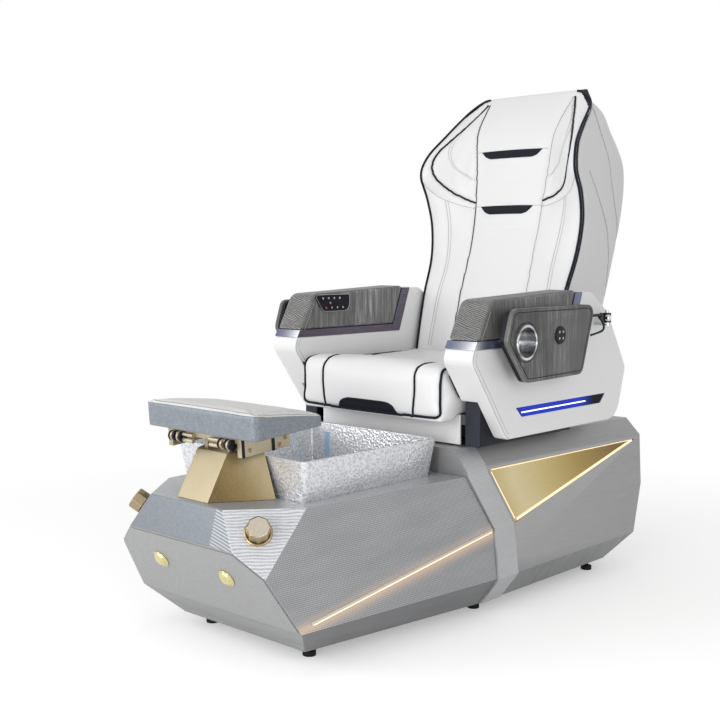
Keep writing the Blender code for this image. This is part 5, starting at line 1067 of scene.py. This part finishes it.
def make_bath():
    """Beaten bowl with its blue strip, drain, jet cap and valve knobs."""
    softened("bowl", HAMMERED, 0.0022, 3, 30)
    corners = ((-0.163, -0.1075, 0.444), (-0.147, -0.1075, 0.444), (-0.139, -0.1162, 0.378),
               (-0.157, -0.1162, 0.378))
    strip = new_mesh("bath_strip", corners, ((0, 3, 2, 1),))
    applied(strip, "SOLIDIFY", thickness=0.003)
    paint(strip, BLUE_STRIP)
    round_edges(strip, 0.0008)
    carry(strip, "base")
    softened("drain", CHROME, 0.0012)
    softened("jet_cap", WHITE_SHELL, 0.0015)
    for name, sign in SIDES:
        make_knob(name, sign)


def make_knob(name, sign):
    """An eight-sided brass valve knob on a round collar."""
    low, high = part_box(f"valve_knob_{name}")
    middle = (Vector(low) + Vector(high)) / 2
    axis = KNOB_AXIS * Vector((sign, 1, 1))
    collar = fitting(f"knob_collar_{name}", middle - axis * 0.0155, axis, (0.0320, 0.0068, 48),
                     ((0.0028, 0.0020), (0.0030, 0), (0.0010, -0.0026)), OLD_BRASS, (0.0010, 2, 25))
    carry(collar, "base")
    head = fitting(f"valve_knob_{name}_finished", middle + axis * 0.0046, axis, (0.0275, 0.0264, 8),
                   ((0.0034, 0.0026), (0.0012, 0)), OLD_BRASS, (0.0014, 3, 20, 30))
    stand_for(head, f"valve_knob_{name}")


# Footrest


def tilted(piece):
    """Turn a piece of the footrest about its pin, to the slope that the pad has at rest."""
    pin = Matrix.Translation((0, PIN_Y, PIN_Z))
    piece.data.transform(pin @ Matrix.Rotation(math.radians(FOOTPAD_DEGREES), 4, "X") @ pin.inverted())
    return piece


def make_footrest():
    """Gold post, hinge with its bars and bushes, carrier and pad."""
    def post_side(middle, normal):
        return abs(normal.x) > 0.4 and middle.z < 0.476 and abs(middle.x) > 0.05

    softened("pedestal", CHAMPAGNE, 0.0024, 3, 25, ((POST_GOLD, post_side),))
    softened("footrest_frame", CHAMPAGNE, 0.0016, 2, 30)
    for name, sign in SIDES:
        make_carrier_side(name, sign)
        cap = fitting(f"pin_cap_{name}", (sign * 0.0465, PIN_Y, PIN_Z), (sign, 0, 0), (0.0095, 0.005, 6),
                      ((0.0018, 0.0014),), BLACK_PLASTIC, (0.0006,))
        carry(cap, "base")
    make_footrest_pad()


def make_carrier_side(name, sign):
    """Screws and black bands on a side plate of the footrest's carrier, and the gold rods ahead of it."""
    out = (sign, 0, 0)
    for number, (y, z) in enumerate(((-0.638, 0.496), (-0.549, 0.492), (-0.530, 0.505)), 1):
        screw = fitting(f"carrier_screw_{name}_{number}", (sign * 0.1307, y, z), out, (0.0052, 0.0024, 24),
                        ((0.0018, 0), (0.0006, -0.0014)), OLD_BRASS, (0.0005,))
        carry(tilted(screw), "footrest")
    for number, (first, last) in enumerate(((-0.6615, -0.6545), (-0.572, -0.564)), 1):
        band = bar(f"carrier_bush_{name}_{number}", (sign * 0.127, first, 0.4815),
                   (sign * 0.1325, last, 0.5262))
        paint(band, BLACK_PLASTIC)
        round_edges(band, 0.0010)
        carry(tilted(band), "footrest")
    groove = bar(f"carrier_groove_{name}", (sign * 0.128, PIN_Y, 0.5060), (sign * 0.1304, -0.578, 0.5082))
    paint(groove, OLD_BRASS)
    round_edges(groove, 0.0003)
    carry(tilted(groove), "footrest")
    for number, (z, radius) in enumerate(((0.5170, 0.0046), (0.5040, 0.0052)), 1):
        ends = [(sign * x, RODS_Y, z) for x in (0.030, 0.104)]
        rail = tube(f"carrier_rail_{name}_{number}", ends, radius, CHAMPAGNE)
        carry(tilted(rail), "footrest")
    for number, (x, finish) in enumerate(((0.070, BLACK_PLASTIC), (0.078, CHAMPAGNE), (0.092, BLACK_PLASTIC),
                                          (0.100, CHAMPAGNE), (0.107, BLACK_PLASTIC)), 1):
        ring = fitting(f"carrier_ring_{name}_{number}", (sign * x, RODS_Y, 0.5105), out, (0.0125, 0.0058, 28),
                       ((0.0030, 0.0006),), finish, (0.0008,), True)
        carry(tilted(ring), "footrest")


def make_footrest_pad():
    """Slanting foot pad, padded on top, with rounded corners."""
    edge = 0.006
    corner = 0.018
    middle_y = (FOOTPAD_FRONT + FOOTPAD_REAR) / 2
    half_y = (FOOTPAD_REAR - FOOTPAD_FRONT) / 2

    def shape(u, v, w):
        x = u * FOOTPAD_HALF
        y = v * half_y
        over_x = max(0.0, abs(x) - (FOOTPAD_HALF - corner))
        over_y = max(0.0, abs(y) - (half_y - corner))
        length = math.hypot(over_x, over_y)
        reach = length
        if over_x > 0 and over_y > 0:
            shrink = max(over_x, over_y) / reach
            x = math.copysign(FOOTPAD_HALF - corner + over_x * shrink, x)
            y = math.copysign(half_y - corner + over_y * shrink, y)
            reach *= shrink
        share = (y + half_y) / (2 * half_y)
        thick = FOOTPAD_FRONT_THICK + (FOOTPAD_REAR_THICK - FOOTPAD_FRONT_THICK) * share
        rise = (w + 1) / 2
        crown = 0.004 * (1 - u ** 4) * (1 - v ** 4)
        z = FOOTPAD_LOW + rise * (thick + (crown if w > 0.99 else 0.0))
        height = (thick - edge) / thick
        tuck = max(0.0, (rise - height) / (1 - height)) if reach > corner - edge else 0.0
        if tuck > 0:
            out = (reach - (corner - edge)) / edge
            pull = edge * out * (1 - math.sqrt(max(0.0, 1 - tuck * tuck)))
            x -= math.copysign(pull * over_x / length, x)
            y -= math.copysign(pull * over_y / length, y)
        return x, y + middle_y, z

    piece, shares = block_grid("footrest_pad_cover", (64, 40, 12), shape)
    paint(piece, PAD_GREY, (PAD_CREAM, lambda middle, normal: normal.z > 0.72))
    swell(piece, shares[:, 2] < 0.6, 2.2, 0.004)
    subdivide(piece)
    tilted(piece)
    stand_for(piece, "footrest_pad")


# Seat


def rounded(value, half, radius):
    """How far a value is past the flat part of a rounded block."""
    return math.copysign(max(0.0, abs(value) - (half - radius)), value)


def seat_point(u, v, w):
    """The seat cushion: a full front roll that hangs low, a dished top and rounded edges."""
    radius = 0.026 - 0.013 * max(0.0, -w - 0.3) / 0.7
    half_y = (SEAT_REAR - SEAT_FRONT) / 2
    half_z = (SEAT_HIGH - SEAT_LOW) / 2
    halves = (SEAT_HALF, half_y, half_z)
    at = Vector((u * SEAT_HALF, v * half_y, w * half_z))
    over = Vector([rounded(part, half, radius) for part, half in zip(at, halves)])
    if over.length > 1e-9:
        largest = max(abs(part) for part in over)
        at += over * (largest / over.length - 1)
    y = at.y + (SEAT_FRONT + SEAT_REAR) / 2
    roll = math.exp(-((y + 0.055) / 0.050) ** 2)
    dish = (1 - 0.75 * abs(u) ** 3) * ease(limited((y + 0.01) / 0.11)) * ease(limited((0.39 - y) / 0.13))
    droop = ease(limited((-0.036 - y) / 0.022))
    at.z += max(0.0, w) ** 2 * (0.011 * roll * (1 - 0.3 * u ** 8) - 0.013 * dish)
    at.z -= max(0.0, -w) * 0.014 * droop
    at.y -= 0.004 * (1 - u ** 4) * max(0.0, -v) ** 6 * (1 - w ** 4)
    return at.x, at.y + (SEAT_FRONT + SEAT_REAR) / 2, at.z + (SEAT_LOW + SEAT_HIGH) / 2


def make_seat():
    """Seat cushion with its piping, sewn channels and trim, apron and brackets."""
    piped = smooth_line(SEAT_PIPING)
    piped = np.vstack((piped, mirrored(piped)[::-1][1:]))
    channel = smooth_line(SEAT_CHANNEL)
    channels = [channel, mirrored(channel)]
    seams = [piped] + channels
    piece, shares = block_grid("seat_cushion_cover", (72, 68, 18), seat_point)
    held = (shares[:, 2] < -0.95) | (shares[:, 1] > 0.95)
    held |= seam_gap(coordinates(piece), seams) < SEAM_HOLD
    swell(piece, held, 4.0, 0.009)
    subdivide(piece)
    sew(piece, seams, 0.0045, 0.006)
    piece.data.materials.append(WHITE_LEATHER)
    stand_for(piece, "seat_cushion")
    surface = surface_of(piece)
    cord("seat_piping", laid_on(surface, piped, 0.0024), 0.0034, BLACK_LEATHER, "seat")
    for (name, sign), line in zip(SIDES, channels):
        cord(f"seat_channel_piping_{name}", laid_on(surface, line, 0.0014), 0.0028, BLACK_LEATHER, "seat")
    trim = patch("seat_trim", surface, (0.105, 0.088, 0.5195, 0.5475), SEAT_FRONT, 0.0042, 0.020, True)
    carry(trim, "seat")
    softened("seat_apron", WHITE_SHELL, 0.0018)
    softened("carriage", STEEL_PAINT, 0.0015, 2, 40)
    for name, sign in SIDES:
        softened(f"side_bracket_{name}", BLACK_PLASTIC, 0.003, 3, 25,
                 ((BLACK_TEXTURED, lambda middle, normal: normal.y < -0.5),))


def patch(name, surface, size, near_y, lift, taper, faces_out=False):
    """A small black insert with tapering ends, laid on a cushion's front."""
    wide, narrow, first, last = size
    across = 36
    tall = 8
    points = []
    for row in range(tall + 1):
        share = row / tall
        half = wide + (narrow - wide) * share - taper * max(0.0, (share - 0.5) / 0.5) ** 3
        for column in range(across + 1):
            u = 2 * column / across - 1
            start = Vector((half * u, near_y, first + (last - first) * share))
            at, normal, number, gap = surface.find_nearest(start)
            dish = 1 - 0.5 * (1 - u ** 6) * (1 - (2 * share - 1) ** 4)
            points.append(at + normal * lift * dish)
    faces = []
    for row in range(tall):
        for column in range(across):
            low = row * (across + 1) + column
            faces.append((low, low + 1, low + across + 2, low + across + 1))
    piece = new_mesh(name, points, faces)
    if not faces_out:
        edit(piece, ((bpy.ops.mesh.flip_normals, {}),))
    applied(piece, "SOLIDIFY", thickness=0.008, offset=-1)
    piece.data.materials.append(BLACK_LEATHER)
    round_edges(piece, 0.0012, 2, 40, 60)
    return piece


# Armrests and trays


def make_armrests():
    """Shells with their seams, satin trims, veneered caps and lit recesses."""
    behind = Vector((0, 0.888, -0.460))
    joint = Vector((0, -0.115, 0.697)) + behind * 0.017

    def past_joint(middle):
        return (Vector(middle) - joint).dot(behind) > 0

    def on_side(middle, normal):
        return abs(normal.x) > 0.7 and past_joint(middle)

    def on_top(middle, normal):
        return normal.z > 0.9 and past_joint(middle)

    for name, sign in SIDES:
        shell = copy_of(f"armrest_shell_{name}")
        paint(shell, WHITE_SHELL, (CHROME, lambda middle, normal: abs(middle.x) > 0.3535))
        round_edges(shell, 0, smooth=50)
        stand_for(shell, f"armrest_shell_{name}")
        make_shell_seams(name, sign)
        softened(f"armrest_trim_{name}", TRIM_SATIN, 0.0012, 2, 30,
                 ((TRIM_INNER, lambda middle, normal, sign=sign: normal.x * sign < -0.5),
                  (BLACK_PLASTIC, lambda middle, normal: normal.z > 0.7 and middle.z > 0.8)))
        cap = copy_of(f"armrest_cap_{name}")
        edit(cap, ((bpy.ops.mesh.bisect, {"plane_co": joint, "plane_no": behind}),))
        paint(cap, VENEER_WRAPPED, (VENEER_UPRIGHT_PAINTED_LIGHT, on_side), (VENEER_TOP_PAINTED_SHADE, on_top))
        round_edges(cap, 0, smooth=50)
        stand_for(cap, f"armrest_cap_{name}")
        for number, x in enumerate((0.3531, 0.2629), 1):
            line = [joint + Vector((sign * x, 0.5185 * rise, rise)) for rise in (0.028, 0.060, 0.100)]
            cord(f"veneer_joint_{name}_{number}", line, THIN_SEAM, CAP_EDGE, "seat")
        softened(f"armrest_light_{name}", BLUE_LIGHT, 0.0006)
        ends = [(sign * 0.3512, y, z) for y, z in ((0.088, 0.5255), (0.390, 0.5265))]
        cord(f"recess_line_{name}", ends, 0.0017, WHITE_LIGHT, "seat")


def make_shell_seams(name, sign):
    """Two thin seams behind the front edge of an armrest, and a black cord at its inner edge, a painted
    shadow of the gap to the seat.
    """
    for number, inset in enumerate((0.003, 0.014), 1):
        line = [(place[0] + inset * turn[0], place[1] + inset * turn[1]) for place, turn in SHELL_EDGE]
        for label, x, part in ((number, SHELL_OUTER, line), (number + 2, SHELL_INNER, line[:6])):
            seam = smooth_line([(sign * x, y, z) for y, z in part])
            cord(f"shell_seam_{name}_{label}", seam, THIN_SEAM, SEAM_GREY, "seat")
    # Painted shadow: a black cord inside the shell's inner front edge, where the gap to the seat lies in
    # shade.
    gap = [(sign * 0.2605, y + 0.004, z) for (y, z), turn in SHELL_EDGE[4:6]]
    cord(f"painted_gap_shadow_{name}", smooth_line(gap), 0.0026, BLACK_PLASTIC, "seat")


def make_trays():
    """Veneered tray boards with groove, cup and boss, on their arms."""
    # The groove's slanted walls are painted black: painted shade in the groove.
    def groove_in_painted_shade(middle, normal):
        return 0.3 < abs(normal.x) < 0.9 and 0.4115 < abs(middle.x) < 0.4125

    for name, sign in SIDES:
        board = copy_of(f"tray_{name}")
        edit(board, ((bpy.ops.mesh.bisect, {"plane_co": (sign * TRAY_LAYER, 0, 0), "plane_no": (1, 0, 0)}),))
        round_edges(board, 0.0035, 3, 40)
        edit(board, insets((0.0075, 0), (0.0012, -0.0018), (0.0012, 0.0018)),
             lambda middle, normal, sign=sign: normal.x * sign > 0.98 and abs(middle.x) > 0.4125)
        paint(board, VENEER_LAYERS, (VENEER_TRAY_PAINTED_SHADE, lambda middle, normal: abs(normal.x) > 0.9),
              (BLACK_PLASTIC, lambda middle, normal: abs(middle.x) < 0.4004), (BLACK_PLASTIC, groove_in_painted_shade))
        stand_for(board, f"tray_{name}")
        softened(f"tray_cup_{name}", CUP_CHROME, 0.001, 2, 35)
        softened(f"tray_boss_{name}", BLACK_PLASTIC, 0.0012, 2, 35)
        for number in range(4):
            angle = math.pi / 4 + math.pi / 2 * number
            at = (sign * BOSS_FACE, BOSS_Y + BOSS_SCREWS * math.cos(angle),
                  BOSS_Z + BOSS_SCREWS * math.sin(angle))
            screw = fitting(f"boss_screw_{name}_{number + 1}", at, (sign, 0, 0), (0.0036, 0.0016, 20),
                            ((0.0016, 0), (0.0003, -0.0008)), STEEL_BUTTON, (0.0004,))
            carry(screw, f"tray_{name}")
        make_tray_hinge(name, sign)


def make_tray_hinge(name, sign):
    """The tray's arm with its bolt and wire link, and the catch on the armrest."""
    softened(f"tray_arm_{name}", BLACK_PLASTIC, 0.0012, 2, 35)
    bolt = fitting(f"arm_bolt_{name}", (sign * 0.3995, 0.420, 0.7555), (sign, 0, 0), (0.0095, 0.009, 6),
                   ((0.0022, 0.002), (0.003, 0.001)), CHROME, (0.0009, 2, 20, 50))
    carry(bolt, f"tray_arm_{name}")
    link = smooth_line([(sign * x, y, z) for x, y, z in ARM_LINK])
    cord(f"arm_link_{name}", link, 0.0030, BLACK_PLASTIC, f"tray_arm_{name}")
    stud = fitting(f"tray_catch_{name}", (sign * 0.3575, -0.0045, 0.7146), (sign, 0, 0), (0.0052, 0.009, 20),
                   ((0.0014, 0.0012),), CHROME, (0.0008,))
    carry(stud, "seat")


def make_keypad():
    """Key panel with its bright rim and nine buttons."""
    panel = copy_of("keypad")
    edit(panel, insets((0.0014, 0)), lambda middle, normal: normal.x > 0.9)
    paint(panel, BLACK_PLASTIC, (STEEL_BUTTON, lambda middle, normal: False))
    mesh = panel.data
    outline = [face for face in mesh.polygons if abs(face.normal.x) < 0.5
               and max((corner.co - face.center).dot(face.normal) for corner in mesh.vertices) < 0.0001]
    for face in mesh.polygons:
        inside = min((side.center - face.center).dot(side.normal) for side in outline)
        if face.normal.x > 0.9 and inside < 0.0011:
            face.material_index = 1
    round_edges(panel, 0)
    stand_for(panel, "keypad")
    for number in range(1, 10):
        softened(f"button_{number}", RED_BUTTON if number == 6 else STEEL_BUTTON, 0.0007, 2, 35)


# Back


def at_share(stations, share):
    """A back line's value on a smooth curve through its stations."""
    places, values = zip(*stations)
    share = min(places[-1], max(places[0], share))
    number = min(len(places) - 2, max(0, sum(place <= share for place in places) - 1))
    slopes = []
    for at in (number, number + 1):
        low = max(0, at - 1)
        high = min(len(places) - 1, at + 1)
        slopes.append((values[high] - values[low]) / (places[high] - places[low]))
    span = places[number + 1] - places[number]
    t = (share - places[number]) / span
    return ((1 + 2 * t) * (1 - t) ** 2 * values[number] + t * (1 - t) ** 2 * span * slopes[0]
            + t * t * (3 - 2 * t) * values[number + 1] + t * t * (t - 1) * span * slopes[1])


def back_half(z):
    return at_share(WIDTH_LINE, (z - BACK_LOW) / BACK_TALL)


def back_front(u, z):
    share = (z - BACK_LOW) / BACK_TALL
    wing = ease(limited((abs(u) - 0.5) / 0.5))
    centre = at_share(CENTRE_LINE, share)
    return HINGE_Y + centre + (at_share(EDGE_LINE, share) - centre) * wing


def pad_rear(u, z):
    thick = 0.016 + 0.034 * (1 - abs(u) ** 3)
    return back_front(u, z) + thick * min(1.0, 0.25 + (BACK_TOP - z) / 0.16)


def pad_point(u, v, w):
    """The back's front pad: a padded sheet that rounds off at its sides and top."""
    z = BACK_LOW + BACK_TALL * (w + 1) / 2
    edge = max(0.0, (abs(u) - 0.92) / 0.08)
    top = max(0.0, (w - 0.955) / 0.045)
    front = back_front(u, z) + 0.006 * edge ** 2 + 0.005 * top ** 2
    return u * back_half(z), front + (pad_rear(u, z) - front) * (v + 1) / 2, z


def shell_point(u, v, w):
    """The back's shell: it turns from the pad's edge round a full rear."""
    z = BACK_LOW + BACK_TALL * (w + 1) / 2
    depth = (v + 1) / 2
    half = back_half(z) - 0.010 * depth ** 4
    front = pad_rear(u, z) + 0.0009
    rear = HINGE_Y + at_share(REAR_LINE, (z - BACK_LOW) / BACK_TALL) - 0.008 * u ** 6
    x = u * half
    y = front + (rear - front) * depth
    turn = min(0.024, 0.4 * (rear - front))
    over = Vector((max(0.0, abs(x) - half + turn), max(0.0, y - rear + turn), 0))
    if over.y > 0 and over.x > 0:
        shrink = max(over) / over.length
        x = math.copysign(abs(x) - over.x * (1 - shrink), x)
        y -= over.y * (1 - shrink)
    z -= (0.018 + 0.012 * ease(depth)) * max(0.0, (z - 1.26) / 0.15) ** 2
    return x, y, z


def outer_edges():
    """The lines of the pad's outer edge, each from the foot round a shoulder to the head's corner."""
    side = [(0.985 * back_half(z), back_front(0.985, z) + 0.004, z) for z in np.linspace(0.62, 1.388, 90)]
    corner = [(x, back_front(u, z) + 0.004, z) for x, u, z in ((0.176, 0.94, 1.399), (0.158, 0.85, 1.4035))]
    line = smooth_line((side + corner)[::3] + corner[-1:])
    return [line, mirrored(line)]


def on_front(line):
    """A seam of the back's front, from distances and heights to points, with its mirror image."""
    points = smooth_line([(x, back_front(x / back_half(z), z), z) for x, z in line])
    for point in points:
        point[1] = back_front(point[0] / back_half(point[2]), point[2])
    return [points, mirrored(points)]


def gusset(middle, normal):
    """The black side faces of the pad, and its upper corners."""
    across = abs(middle.x)
    over = middle.z - 1.4035 + 0.25 * (across - 0.158) + 0.75 * max(0.0, across - 0.176)
    side = normal.x * middle.x > 0.1 * across and abs(normal.x) > 0.62 and across > 0.17
    return side or (across > 0.16 and over > 0)


def make_back():
    """The padded back: front pad with its panels, piping and inserts, and the leather shell behind it."""
    centre, head, shoulder, channel, wing = (
        on_front(line) for line in (CENTRE_SEAM, HEAD_SEAM, SHOULDER_SEAM, CHANNEL_SEAM, WING_STITCH))
    edges = outer_edges()
    piece, shares = block_grid("back_pad_cover", (82, 3, 118), pad_point)
    points = coordinates(piece)
    gap = seam_gap(points, centre + head + shoulder + channel + edges)
    forward = shares[:, 1] < -0.99
    points[:, 1] -= np.where(forward, 0.004 * (1 - np.exp(-(gap / 0.03) ** 2)), 0.0)
    put_points(piece, points)
    held = ~forward | (np.abs(shares[:, 0]) > 0.975) | (np.abs(shares[:, 2]) > 0.985) | (gap < SEAM_HOLD)
    swell(piece, held, 4.0, 0.012)
    subdivide(piece)
    sew(piece, centre + head, 0.0045, 0.0055)
    sew(piece, shoulder + channel, 0.0016, 0.007)
    paint(piece, WHITE_LEATHER, (BLACK_LEATHER, gusset))
    stand_for(piece, "back_pad")
    make_back_lines(surface_of(piece), edges, head, centre, channel, wing, shoulder)
    make_back_shell()
    softened("back_frame", STEEL_PAINT, 0.0015, 2, 40)


def make_back_lines(surface, edges, head, centre, channel, wing, shoulder):
    """Piping, seam lines and dark inserts on the back's front."""
    for (name, sign), edge, top, middle in zip(SIDES, edges, head, centre):
        cord(f"back_edge_piping_{name}", laid_on(surface, edge, 0.002), 0.0037, BLACK_LEATHER, "back")
        cord(f"head_piping_{name}", laid_on(surface, top, 0.0014), 0.0029, BLACK_LEATHER, "back")
        # The centre seams are cords in painted shade: black on the sitter's right for the shadow seen in its
        # groove, thin grey on the left for a soft fold.
        radius, finish = (0.0015, BLACK_LEATHER) if sign < 0 else (0.0008, SEAM_GREY)
        cord(f"centre_seam_{name}", laid_on(surface, middle, 0.0004), radius, finish, "back")
    for label, lines, offsets, radius, finish in (("channel", channel, (STITCH, -STITCH), 0.0013, WELT_PAINTED_SHADE),
                                                  ("wing", wing, (STITCH, -STITCH), 0.0010, WELT_PAINTED_SHADE),
                                                  ("shoulder", shoulder, (0.0,), 0.0008, SEAM_GREY)):
        for (name, sign), line in zip(SIDES, lines):
            for number, offset in enumerate(offsets, 1):
                laid = laid_on(surface, line + np.array((offset, 0, 0)), 0.0)
                cord(f"{label}_line_{name}_{number}", laid, radius, finish, "back")
    for number, size in enumerate(SLOTS_OF_BACK, 1):
        front = back_front(0, size[2])
        insert = patch(f"back_insert_{number}", surface, size, front, 0.003, 0.012)
        carry(insert, "back")
        for name, sign in SIDES:
            # Grey lines from the inserts' ends in place of their creases: painted shade.
            crease = [(sign * x, front, size[2]) for x in np.linspace(size[0], 0.128, 6)]
            laid = laid_on(surface, crease, 0.0)
            cord(f"insert_crease_{name}_{number}", laid, THIN_SEAM, SEAM_GREY, "back")


def make_back_shell():
    """Leather shell of the back with its long side seams."""
    piece, shares = block_grid("back_shell_cover", (56, 16, 84), shell_point)
    surface = surface_of(piece)
    laid = []
    for line in SHELL_SEAMS:
        side = np.array(laid_on(surface, smooth_line([(0.27, y, z) for y, z in line]), 0.0))
        laid += [side, mirrored(side)]
    held = (shares[:, 1] < -0.95) | (seam_gap(coordinates(piece), laid) < 0.004)
    swell(piece, held, 3.0, 0.006)
    subdivide(piece)
    sew(piece, laid, 0.003, 0.006)
    piece.data.materials.append(SHELL_LEATHER_PAINTED_SHADE)
    stand_for(piece, "back_shell")
    surface = surface_of(piece)
    for number, line in enumerate(laid, 1):
        cord(f"shell_back_seam_{number}", laid_on(surface, line, 0.0002), 0.0008, SEAM_GREY, "back")


def main():
    """Build the whole look."""
    make_camera()
    make_room()
    make_base()
    make_bath()
    make_footrest()
    make_seat()
    make_armrests()
    make_trays()
    make_keypad()
    make_back()


main()
